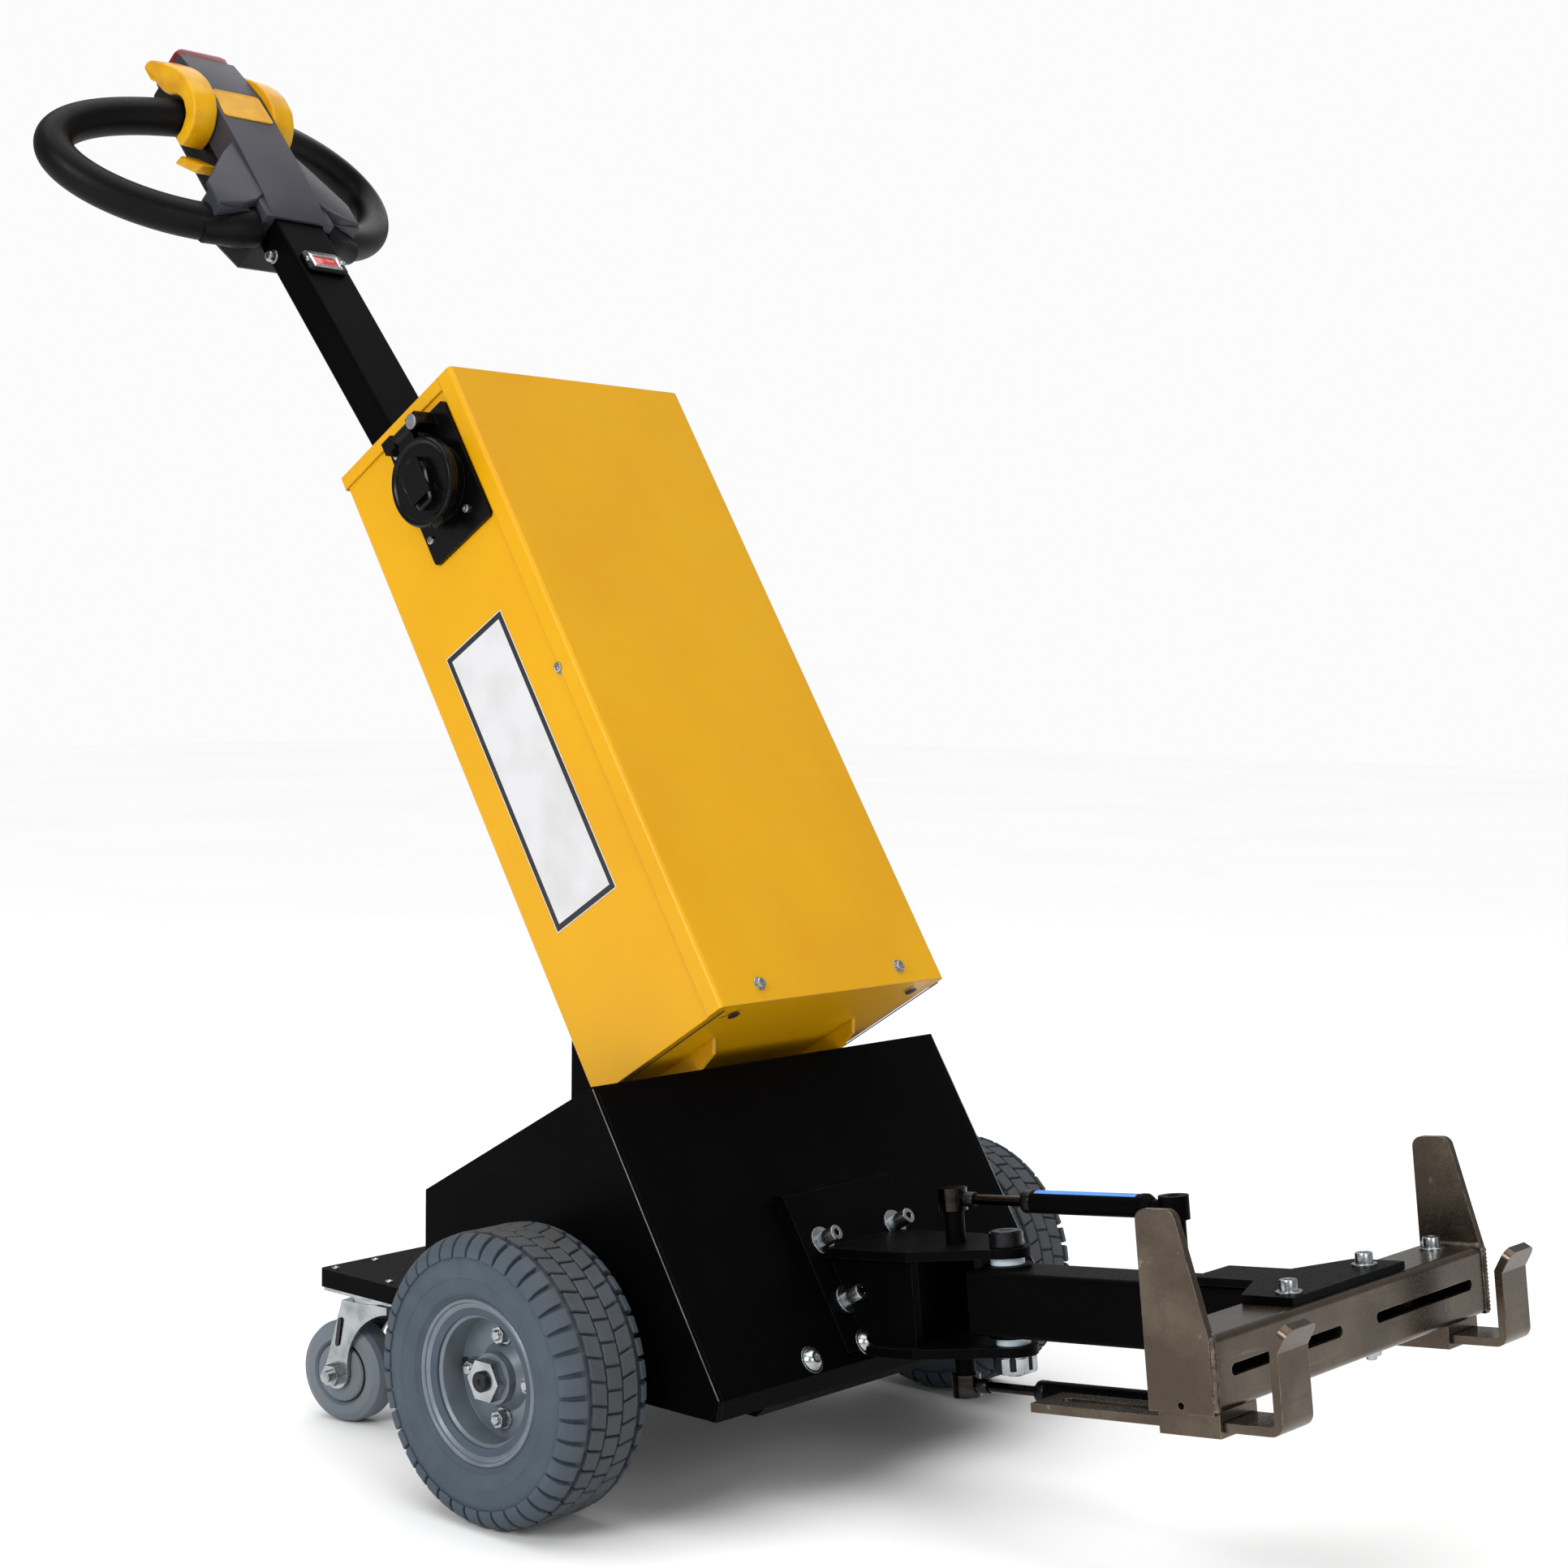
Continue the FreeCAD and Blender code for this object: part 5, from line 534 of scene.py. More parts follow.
@cache
def soft_touch_grip():
    """Black polyurethane foam skin of the ring handle: leathery, a little polished by hands.

    Its grain of 1 mm is drawn at 2.2 mm, to show.
    """
    return surface(
        "soft_touch_grip", "#040405", "#0A0909", 55, (0.36, 0.52), 2.2, 0.05, 0.8,
        IOR=1.5, Specular_IOR_Level=0.12,
    )[0]


@cache
def moulded_slate_plastic():
    """Injection-moulded slate ABS of the head's cover: matt, its grain of 0.6 mm drawn at 1.6 mm to show."""
    shade = bpy.context.scene.tug_colours.cover
    made, tree, place = surface(
        "moulded_slate_plastic", shade, "#2C2C36", 60, (0.4, 0.52), 1.6, 0.03, 1.2,
        IOR=1.53, Specular_IOR_Level=0.25,
    )
    stain(made, from_above(tree, place, 0.6, 1.0, 25, 0.12), "#77757A")
    return made


@cache
def moulded_yellow_plastic():
    """Injection-moulded yellow ABS: a clean satin skin, slightly deeper where thumbs have rubbed it."""
    shade = bpy.context.scene.tug_colours.lever
    return surface(
        "moulded_yellow_plastic", shade, "#C98C05", 30, (0.32, 0.42), 1.4, 0.015, 1.0,
        IOR=1.53, Specular_IOR_Level=0.3,
    )[0]


@cache
def moulded_red_plastic():
    """Moulded dark red polycarbonate of the belly switch: glossy, clear-skinned and slightly deep."""
    shade = bpy.context.scene.tug_colours.stop
    return surface(
        "moulded_red_plastic", shade, "#6E0309", 25, (0.22, 0.32), 1.4, 0.01, 1.0,
        IOR=1.58, Specular_IOR_Level=0.15,
    )[0]


@cache
def polypropylene_case():
    """Moulded black polypropylene of the battery cases: waxy and softly blotched."""
    return surface(
        "polypropylene_case", "#101113", "#1D1E20", 30, (0.42, 0.55), 2.0, 0.05, 1.0, IOR=1.49
    )[0]


@cache
def zinc_plate():
    """Bright zinc-plated steel, clear-passivated: silvery, with straw clouds some millimetres wide."""
    made, tree, place = surface(
        "zinc_plate", "#AAAFB1", "#8C9193", 14, (0.2, 0.3), 1.6, 0.008, 0.5, Metallic=1.0
    )
    straw = node(tree, "TexNoise", {"Scale": 1 / (16 * MM), "Detail": 1}, {"Vector": place})
    faint = node(tree, "MapRange", {1: 0.55, 2: 0.8, 4: 0.3}, {0: straw.outputs[0]})
    stain(made, faint.outputs[0], "#A39C84")
    return made


@cache
def cast_aluminium():
    """Sand-cast aluminium: dull grey skin, pitted by the sand's grains of 0.8 mm, drawn at 2 mm to show."""
    return surface(
        "cast_aluminium", "#8B8E90", "#6D7073", 18, (0.45, 0.65), 2.0, 0.25, 1.5, Metallic=0.9
    )[0]


@cache
def motor_enamel():
    """Dark enamel over the motor's rolled steel can, thin enough to show the lathe's marks."""
    return surface(
        "motor_enamel", "#24272A", "#3A3D40", 20, (0.35, 0.5), 2.0, 0.05, 1.0, (8, 1, 1), Metallic=0.4
    )[0]


@cache
def rolled_raw_steel():
    """Hot-rolled steel left bare: brown-grey mill scale in islands, streaks of 60 mm along the rolling
    and bright rubbed spots."""
    made, tree, place = surface(
        "rolled_raw_steel", "#4A4037", "#5C5247", 60, (0.2, 0.32), 1.8, 0.012, 1.0, Metallic=0.9
    )
    along = node(tree, "Mapping", {"Scale": (1, 0.09, 1)}, {"Vector": place}).outputs[0]
    layers = (
        (5, {"Detail": 5}, along, (0.5, 0.74, 0.4), "#443B33"),
        (34, {"Detail": 7, "Roughness": 0.62}, place, (0.58, 0.68, 0.35), "#3D3834"),
        (12, {"Detail": 6}, along, (0.68, 0.76, 0.5), "#8D8478"),
    )
    for size, look, laid, (low, high, strength), tone in layers:
        cloud = node(tree, "TexNoise", {"Scale": 1 / (size * MM), **look}, {"Vector": laid})
        share = node(tree, "MapRange", {1: low, 2: high, 4: strength}, {0: cloud.outputs[0]})
        stain(made, share.outputs[0], tone)
    # Painted highlight: a pale line along the steel's sharp edges.
    stain(made, edges(tree, place, 1.0, 0.5), "#A79E90")
    return made


@cache
def weld_metal():
    """Wire-welded steel: a dark heat-tinted bead with a brown bloom."""
    return surface("weld_metal", "#4B4744", "#7A6A5A", 5, (0.3, 0.5), 1.2, 0.1, 0.4, Metallic=0.9)[0]


@cache
def black_oxide_steel():
    """Black-oxidised steel of the pin and screws: deep black with an oily gloss."""
    return surface(
        "black_oxide_steel", "#17171A", "#242327", 8, (0.25, 0.38), 1.4, 0.02, 0.6, Metallic=0.7
    )[0]


@cache
def nitrided_rod():
    """Ground and nitrided steel of the piston rods: dark and nearly a mirror."""
    return surface(
        "nitrided_rod", "#2E2A28", "#1F1C1B", 30, (0.12, 0.2), 1.2, 0.005, 0.3, (1, 1, 6), Metallic=1.0
    )[0]


@cache
def white_nylon():
    """Machined white nylon: slightly bluish, and a little light passes its rim."""
    return surface(
        "white_nylon", "#D9E4EA", "#C3D0D8", 12, (0.35, 0.45), 1.2, 0.02, 0.6,
        IOR=1.53, Subsurface_Weight=0.15,
    )[0]


@cache
def rim_enamel():
    """Silver-grey stoved enamel on the pressed rims: satin, with road film in the dish."""
    shade = bpy.context.scene.tug_colours.rim
    made, tree, place = surface(
        "rim_enamel", shade, "#656E76", 22, (0.32, 0.44), 2.2, 0.03, 1.2, IOR=1.5, Metallic=0.35
    )
    stain(made, from_above(tree, place, -0.6, 1.0, 14, 0.15), "#4B4742")
    return made


@cache
def tyre_rubber():
    """Moulded non-marking grey rubber: bluish, matt, brown where the crown has rolled, darker and greyer down
    in its grooves.

    Its skin's grain of 0.5 mm is drawn at 1.8 mm, to show.
    """
    shade = bpy.context.scene.tug_colours.tread
    made, tree, place = surface(
        "tyre_rubber", shade, "#444F59", 26, (0.62, 0.78), 1.8, 0.08, 0.5, IOR=1.52, Specular_IOR_Level=0.25
    )
    middle = {"Location": (-AXLE.x * MM, 0, -AXLE.z * MM), "Scale": (1, 0, 1)}
    spoke = node(tree, "Mapping", middle, {"Vector": place}).outputs[0]
    out = node(tree, "VectorMath", links={0: spoke}, operation="LENGTH").outputs["Value"]
    crown, groove, foot = (
        node(
            tree, "MapRange", {1: (AXLE.z - low) * MM, 2: (AXLE.z - high) * MM, 4: most}, {0: out}
        ).outputs[0]
        for low, high, most in ((5.8, 0.5, 1), (1.8, 4.8, 0.45), (14.3, 8.3, 1))
    )
    dirt = node(tree, "TexNoise", {"Scale": 1 / (60 * MM), "Detail": 3}, {"Vector": place})
    laid = node(tree, "MapRange", {1: 0.25, 2: 0.7, 3: 0.3, 4: 0.75}, {0: dirt.outputs[0]}).outputs[0]
    # Brown on the rolled crown; a darker grey deeper down in the grooves, fading out down the wall.
    for first, second, tone in ((crown, laid, "#3F3B37"), (groove, foot, "#3B4046")):
        stain(made, node(tree, "Math", links={0: first, 1: second}, operation="MULTIPLY").outputs[0], tone)
    return made


@cache
def caster_rubber():
    """Moulded thermoplastic rubber of the casters: pale blue-grey, matt, scuffed brown."""
    shade = bpy.context.scene.tug_colours.caster
    return surface("caster_rubber", shade, "#66696B", 14, (0.5, 0.66), 1.6, 0.06, 1.0, IOR=1.5)[0]


@cache
def white_vinyl():
    """Cast white vinyl film: smooth and faintly grey."""
    return surface("white_vinyl", "#CBCBCD", "#C1C1C2", 40, (0.3, 0.4), 3.0, 0.01, 0.01, IOR=1.5)[0]


@cache
def black_print():
    """Black screen ink on vinyl: even and satin."""
    return surface("black_print", "#131315", "#1C1C1E", 20, (0.35, 0.45), 3.0, 0.01, 0.2, IOR=1.5)[0]


@cache
def blue_print():
    """Blue ink printed round the gas spring: bright and smooth."""
    shade = bpy.context.scene.tug_colours.stripe
    return surface("blue_print", shade, "#1F74C8", 20, (0.3, 0.4), 3.0, 0.01, 0.2, IOR=1.5)[0]


@cache
def bright_chrome():
    """Chromium plate of the gauge's frame: bright, with the faintest pull of the buffing wheel."""
    return surface(
        "bright_chrome", "#DADCDE", "#C4C7CA", 10, (0.08, 0.16), 1.2, 0.005, 0.4, Metallic=1.0
    )[0]


@cache
def red_lens():
    """Clear acrylic over a red charge display: deep and glassy."""
    return surface(
        "red_lens", "#D23A34", "#A81F1C", 6, (0.1, 0.16), 2.0, 0.005, 0.3,
        IOR=1.49, Coat_Weight=0.6, Coat_Roughness=0.04,
    )[0]


@cache
def valve_rubber():
    """Moulded black rubber of the valve stems, seals and plugs: matt."""
    return surface("valve_rubber", "#0C0C0D", "#191919", 8, (0.5, 0.65), 1.2, 0.04, 0.6, IOR=1.52)[0]


@cache
def studio_paper():
    """Matt white background paper, rolled out as the floor: nearly even, with a faint cloud."""
    return surface("studio_paper", "#F8F8F8", "#F6F6F6", 900, (0.7, 0.8), 6, 0.01, 0.5, IOR=1.45)[0]


FINISHES = {
    "black_powder_coat": powder_paint_black,
    "yellow_paint": powder_paint_yellow,
    "battery": polypropylene_case,
    "black_plastic": moulded_black_plastic,
    "slate_plastic": moulded_slate_plastic,
    "yellow_plastic": moulded_yellow_plastic,
    "red_plastic": moulded_red_plastic,
    "cast_aluminium": cast_aluminium,
    "motor_steel": motor_enamel,
    "zinc": zinc_plate,
    "tyre_grey": tyre_rubber,
    "rim_grey": rim_enamel,
    "caster_grey": caster_rubber,
    "black_steel": black_oxide_steel,
    "white_nylon": white_nylon,
    "raw_steel": rolled_raw_steel,
}
OWN_FINISHES = {
    "handle_loop": soft_touch_grip, "gas_rod_upper": nitrided_rod, "gas_rod_lower": nitrided_rod
}


# Operators


class TugOperator:
    """What the tug's operators share."""

    bl_options = {"REGISTER", "UNDO"}


class TUG_OT_finishes(TugOperator, bpy.types.Operator):
    """Paints every part of the frame with the finish of its material slot"""

    bl_idname = "tug.finishes"
    bl_label = "Part finishes"

    def execute(self, context):
        for name, part in frame["nodes"].items():
            for place in part.material_slots:
                place.material = OWN_FINISHES.get(name, FINISHES.get(place.material.name))()
        return {"FINISHED"}


class TUG_OT_tyres(TugOperator, bpy.types.Operator):
    """Models the drive tyres: a carcass with ring lines and staggered tread blocks"""

    bl_idname = "tug.tyres"
    bl_label = "Drive tyres"

    def execute(self, context):
        tread = context.scene.tug_tread
        crown, depth = AXLE.z - 0.5, tread.depth / MM
        block = 2 * pi * crown / tread.pitches - tread.groove / MM
        carcass = turn("carcass", self.section(crown, depth), 96)
        blocks = self.blocks(crown, depth, block, pi / tread.pitches, tread.slant / MM)
        edge = [(crown - 0.4, 28), (crown - 1.8, 32.5), (108.4, 37.8), (103.5, 41.4), (99, 43)]
        edge += [(96.5, 42.9), (96, 41), (101, 38.4), (105, 34), (107.2, 28)]
        bars = [
            slab(
                "bar", [(radius, -block * 0.42, wide * side) for radius, wide in edge],
                (0, block * 0.84, 0), 0.6, 1
            )
            for side in SIDES.values()
        ]
        one = join("tread", blocks, *bars)
        open_all()
        count = tread.pitches - 1
        whole_turn = 2 * pi * count / tread.pitches
        bpy.ops.mesh.spin(steps=count, dupli=True, angle=whole_turn, center=(0, 0, 0), axis=(0, 0, 1))
        whole = join("drive_tread", carcass, one)
        for side, sign in SIDES.items():
            tyre = copied(whole)
            tyre.name = f"tyre_{side}"
            wheel, body = wheel_frame(side, sign), f"drive_wheel_{side}"
            fit(tyre, [wheel], body, "tyre_grey", replaces=[f"drive_tyre_{side}"], smooth=30)
        bpy.data.objects.remove(whole)
        return {"FINISHED"}

    def section(self, crown, depth):
        """The carcass's closed section of (radius, half width): bead, ring lines, wall, tread's floor."""
        half = [
            (50.8, 33), (61, 35.3), (64.8, 36.8), (67.2, 39.4), (68.2, 40.6), (69.2, 40.2), (76, 42.2),
            (80, 42.8), (81, 43.7), (82.2, 43.0), (90, 42.7), (96, 41.2), (103, 37.2), (107.6, 31),
            (crown - depth, 22), (crown - depth + 0.3, 0),
        ]
        return half + [(radius, -wide) for radius, wide in half[-2::-1]] + half[:1]

    def blocks(self, crown, depth, block, step, slant):
        """One pitch of the crown's three rows, the outer two turned on by half a pitch and slanted."""
        row, wide, sunk = 16, 14.4, 0.8
        top, reach = crown - (depth + sunk) / 2, wide / 2 + 0.4
        size = (depth + sunk, block, wide)
        blocks = start("blocks", "cube", size=1, location=(top, 0, 0), scale=size)
        for side in SIDES.values():
            place = (top * cos(step), top * sin(step), side * row)
            bpy.ops.mesh.primitive_cube_add(size=1, location=place, rotation=(0, 0, step), scale=size)
        for middle, share in ((-row, -1), (0, 0.4), (row, 1)):
            pick("VERT", lambda at, _: middle < at.z < middle + reach)
            shift(0, slant * share / 2, 0)
            pick("VERT", lambda at, _: middle - reach < at.z < middle)
            shift(0, -slant * share / 2, 0)
        everything()
        bpy.ops.mesh.bevel(offset=0.7, segments=1)
        return blocks


def wheel_frame(side, sign):
    """The frame of a drive wheel: its middle, with Z outboard along the axle."""
    return spot(Vector(JOINTS[f"drive_wheel_{side}_spin"]["pos_m"]) / MM) @ facing("X", -90 * sign)


class TUG_OT_wheel_hardware(TugOperator, bpy.types.Operator):
    """Models the wheels' bolts, valves, dish rings and the axle ends"""

    bl_idname = "tug.wheel_hardware"
    bl_label = "Wheel hardware"

    def execute(self, context):
        flats = context.scene.tug_hardware.wheel_bolt / MM
        circle, face = 33, 8
        stem_section = [
            (0, 7), (6.4, 7), (6.4, 8.6), (5.8, 9.2), (4.6, 8.9), (4.2, 7.9), (2.6, 7.9), (2.4, 10.5)
        ]
        end_section = [
            (0, 30), (7.4, 30), (8, 30.6), (8, 34.4), (7.2, 35.2), (2.2, 35.2), (1.2, 33.6), (0, 33.6)
        ]
        lip_section = [
            (61.5, 35), (63.3, 35), (64.6, 36), (64.6, 37.2), (63.3, 38.1), (61.6, 37.8), (60.6, 36.4)
        ]
        for side, sign in SIDES.items():
            wheel, body = wheel_frame(side, sign), f"drive_wheel_{side}"
            bolt = hex_bolt(f"wheel_bolt_{side}", flats, 7, 17.5, 2.5, 8)
            quarters = [wheel @ facing("Z", turned) @ to(circle, 0, face) for turned in (0, 90, 180, 270)]
            fit(bolt, [quarter @ facing("Z", 20) for quarter in quarters], body, "zinc")
            stem = turn(f"valve_{side}", stem_section + [(1.4, 11), (0, 11)], 24)
            fit(stem, [wheel @ to(-44.5, 0, 0.5)], body, "rim_grey", valve_rubber)
            fit(ring(f"hub_ring_{side}", 40.2, 47, 3, 1), [wheel @ to(0, 0, face)], body, "rim_grey")
            fit(turn(f"axle_end_{side}", end_section, 24), [wheel], body, "zinc", black_oxide_steel)
            lip = turn(f"rim_lip_{side}", lip_section + lip_section[:1], 64)
            fit(lip, [wheel, wheel @ Matrix.Scale(-1, 4, (0, 0, 1))], body, "rim_grey")
        return {"FINISHED"}


class TUG_OT_head_controls(TugOperator, bpy.types.Operator):
    """Models the thumb levers, the belly switch, the head plate and the cover's wings"""

    bl_idname = "tug.head_controls"
    bl_label = "Head controls"

    def execute(self, context):
        self.levers()
        self.belly_switch()
        self.head_plate()
        self.wings()
        return {"FINISHED"}

    def levers(self):
        """A hooked lever each side, drawn about the bar of the ring handle that it turns on."""
        outer = [(-1, 60), (-1, 71), (9, 71), (16, 64), (23, 53), (30, 42), (36, 29), (40, 12), (39, -8)]
        outer += [(30, -24), (16, -33), (0, -36), (-14, -33)]
        inner = [
            (-14, -20), (0, -21.4), (15.2, -15.2), (21.4, 0), (17, 13), (7, 22), (2, 33), (0, 44), (-1, 52)
        ]
        bar_x, bar_z, foot, wide = -22.5, 576.5, 35, 27
        lever = trace("thumb_lever", [(x + bar_x, 0, z + bar_z) for x, z in outer + inner], closed=True)
        round_corners(5, 3)
        pull(0, wide, 0)
        heal()
        pick("FACE", lambda at, normal: abs(normal.y) > 0.9 and at.y > 20)
        swell((0.94, 1, 0.97), (bar_x, wide, bar_z))
        pick("VERT", lambda at, _: at.y > 20 and at.z > bar_z + 50)
        shift(-1, 4, 1)
        pick("EDGE", lambda at, along: abs(along.y) < 0.5 and (at.y < 1 or at.y > 24))
        bpy.ops.mesh.bevel(offset=2.6, segments=4)
        fit(
            lever, both(TILLER, to(0, foot, 0)), "chassis", "yellow_plastic", replaces=["thumb_wings"],
            smooth=50,
        )

    def belly_switch(self):
        """A cap over the head's end that steps in twice towards its face."""
        foot, rise = 648, 13
        corners = [(x, y, foot) for x, y in ((-53, -33), (-53, 33), (-1, 33), (-1, -33))]
        switch = trace("belly_cap", corners, closed=True)
        round_corners(9, 4)
        pull(0, 0, 9)
        pull(0, 0, 4)
        swell((0.94, 0.9, 1), (-28, 0, foot + rise))
        pull(0, 0, 1.8)
        swell((0.86, 0.8, 1), (-28, 0, foot + rise + 1.8))
        heal()
        fit(switch, [TILLER], "chassis", "red_plastic", replaces=["belly_switch"], smooth=50)

    def head_plate(self):
        """A small plate with a raised rim on the head's front."""
        corners = across(8.9, ((-30.4, 548), (30.4, 548), (28.6, 587), (-28.6, 587)))
        plate = trace("head_plate", corners, closed=True)
        round_corners(4.5, 4)
        pull(1.3, 0, 0)
        heal()
        pick("FACE", lambda at, normal: normal.x > 0.9)
        inset(1.0, 0.35)
        inset(1.2, -0.5)
        fit(plate, [TILLER], "chassis", "yellow_plastic", smooth=12)

    def wings(self):
        """The cover's side wings, which fall away towards the handle's roots."""
        outline = ((-32, 517), (-50, 501), (-87, 456), (-87, 427), (-60, 425), (-44, 431), (-32, 440))
        wing = slab("cover_wing", across(-8, outline), (14, 0, 0))
        pick("VERT", lambda at, _: at.x > 0 and at.y < -70)
        shift(-9.5, 0, 0)
        pick("VERT", lambda at, _: at.x > 0 and -70 < at.y < -48)
        shift(-3.5, 0, 0)
        pick("EDGE", lambda at, _: at.x > -7.5)
        bpy.ops.mesh.bevel(offset=2.2, segments=3, clamp_overlap=True)
        fit(wing, both(TILLER), "chassis", "slate_plastic", smooth=40)


class TUG_OT_moulded_edges(TugOperator, bpy.types.Operator):
    """Rounds the edges of the head's moulded cover and base and of the horn buttons"""

    bl_idname = "tug.moulded_edges"
    bl_label = "Moulded edges"

    def execute(self, context):
        mouldings = (
            ("head_cover", 2.2, "slate_plastic"),
            ("head_base", 2.2, "black_plastic"),
            ("horn_buttons", 3.0, "yellow_plastic"),
        )
        for name, radius, slot in mouldings:
            twin = copied(frame["nodes"][name])
            twin.name = twin.data.name = name + "_moulded"
            open_all()
            bpy.ops.mesh.remove_doubles(threshold=0.00002)
            bpy.ops.mesh.dissolve_limited(angle_limit=radians(1.5))
            if name == "horn_buttons":
                everything()
                swell((1, 0.9, 0.72), TILLER @ Vector((-42, 0, 514)))
            choose(twin)
            bpy.ops.object.modifier_add(type="BEVEL")
            rounding = twin.modifiers[-1]
            rounding.width, rounding.segments = radius * MM, 3
            rounding.limit_method, rounding.angle_limit = "ANGLE", radians(25)
            bpy.ops.object.modifier_apply(modifier=rounding.name)
            bpy.ops.object.shade_smooth_by_angle(angle=radians(40))
            twin.data.materials.clear()
            dress(twin, "chassis", slot, replaces=[name])
        return {"FINISHED"}


class TUG_OT_handle_roots(TugOperator, bpy.types.Operator):
    """Swells the ring handle into the head at its two lower roots"""

    bl_idname = "tug.handle_roots"
    bl_label = "Handle roots"

    def execute(self, context):
        section = [
            (0, -16), (24, -16), (25.4, -8), (24.4, 4), (21.8, 14), (19.6, 24), (18, 34), (17, 40), (0, 40)
        ]
        boot = turn("handle_root", section, 40)
        everything()
        swell((0.82, 1, 1))
        root = to(-27.3, 52, 424.6) @ facing("X", -86) @ facing("Y", -15)
        fit(boot, both(TILLER, root), "chassis", "black_plastic", soft_touch_grip)
        return {"FINISHED"}


class TUG_OT_tiller_details(TugOperator, bpy.types.Operator):
    """Models the charge gauge and the collar's bolts on the tiller"""

    bl_idname = "tug.tiller_details"
    bl_label = "Tiller details"

    def execute(self, context):
        gauge = TILLER @ to(0, 0, 352.5)
        outline = (
            (-24, -9.5), (-19, -13.5), (19, -13.5), (24, -9.5), (24, 9.5), (19, 13.5), (-19, 13.5),
            (-24, 9.5),
        )
        fit(slab("gauge_bezel", across(0, outline), (4.2, 0, 0), 1.0), [gauge], "chassis", "black_plastic")
        silver = slab("gauge_frame", across(0, oblong(17.5, 9)), (5.4, 0, 0), 0.5)
        pick("FACE", lambda at, normal: normal.x > 0.9)
        inset(2.4, 0)
        inset(0.4, -1.1)
        fit(silver, [gauge], "chassis", "zinc", bright_chrome)
        glass = slab("gauge_window", across(0, oblong(15, 6)), (4.6, 0, 0), 0.3)
        fit(glass, [gauge], "chassis", "red_plastic", red_lens)
        screw = socket_screw("gauge_screw", 6.4, 2.6, 3, 1.1)
        fit(screw, [ahead(gauge, 4, y, 0) for y in (-21, 21)], "chassis", "zinc")
        bolt = socket_screw("collar_bolt", 11, 7, 5, 2.2, 14)
        fit(bolt, both(TILLER, to(-25, 29.5, 384) @ facing("X", -90)), "chassis", "zinc")
        return {"FINISHED"}


class TUG_OT_box_label(TugOperator, bpy.types.Operator):
    """Models the bare bordered label on the box's right side"""

    bl_idname = "tug.box_label"
    bl_label = "Box label"

    def execute(self, context):
        label = context.scene.tug_label
        wide, high = label.width / MM / 2, label.height / MM / 2
        margin, border = label.margin / MM, label.border / MM
        sheet = trace("box_label", [(x, 0, z) for x, z in oblong(wide, high)], closed=True)
        pull(0, -0.35, 0)
        heal()
        pick("FACE", lambda at, normal: normal.y < -0.9)
        inset(margin)
        inset(border)
        clear()
        for finish in (white_vinyl(), black_print()):
            sheet.data.materials.append(finish)
        choose(sheet)
        bpy.ops.object.mode_set(mode="EDIT")
        inner = (wide - margin, high - margin)
        pick("FACE", lambda at, normal: normal.y < -0.9 and self.on_border(at, *inner, border))
        sheet.active_material_index = 1
        bpy.ops.object.material_slot_assign()
        fit(sheet, [BOX @ to(-96.5, -138.5, 270.5)], "chassis", "yellow_paint", smooth=0)
        return {"FINISHED"}

    def on_border(self, at, wide, high, border):
        """Whether a face's middle lies on the label's border."""
        inside = abs(at.x) < wide and abs(at.z) < high
        return inside and (abs(at.x) > wide - border or abs(at.z) > high - border)


class TUG_OT_box_hardware(TugOperator, bpy.types.Operator):
    """Models the box's screws, the seam strip and plugs at its foot and a painted highlight strip along the
    corner below it
    """

    bl_idname = "tug.box_hardware"
    bl_label = "Box hardware"

    def execute(self, context):
        foot = [(-160, -136.2), (-4, -136.2), (-4, -134.2), (-160, -134.2)]
        gap = slab("box_seam", [(x, y, -2.3) for x, y in foot], (0, 0, 0.6), 0.2, 1)
        fit(gap, both(BOX), "chassis", "black_plastic", valve_rubber)
        hole = turn("drain_hole", [(0, -0.3), (3.6, -0.3), (4.6, 0), (5.4, 0.4), (5.4, 0.8), (0, 0.8)], 24)
        fit(hole, [BOX @ to(-17, y, -2.6) for y in (-112, 112)], "chassis", "black_plastic", valve_rubber)
        # Painted highlight: a thin bright strip along the corner where the front plate meets the side plate.
        corner = across(-93.9, ((-213.4, -18), (-212.3, -17), (-212.3, -278), (-213.4, -277)))
        glint_strip = slab("painted_edge_glint", corner, (0.45, 0, 0), 0.15, 1)
        fit(glint_strip, both(BOX), "chassis", "black_powder_coat", cast_aluminium)
        head, spread = context.scene.tug_hardware.panel_screw / MM, (-88, 88)
        screw = socket_screw("panel_screw", head, 3.4, 4, 1.5, head + 3, 0.8)
        front = [ahead(BOX, 0, y, 15.5) for y in spread]
        side = [BOX @ to(-19, sign * 138.45, 324) @ facing("X", -90 * sign) for sign in (-1, 1)]
        rear = [BOX @ to(-170.7, y, z) @ facing("Y", -90) for y in spread for z in (60, 540)]
        fit(screw, front + side + rear, "chassis", "zinc")
        return {"FINISHED"}


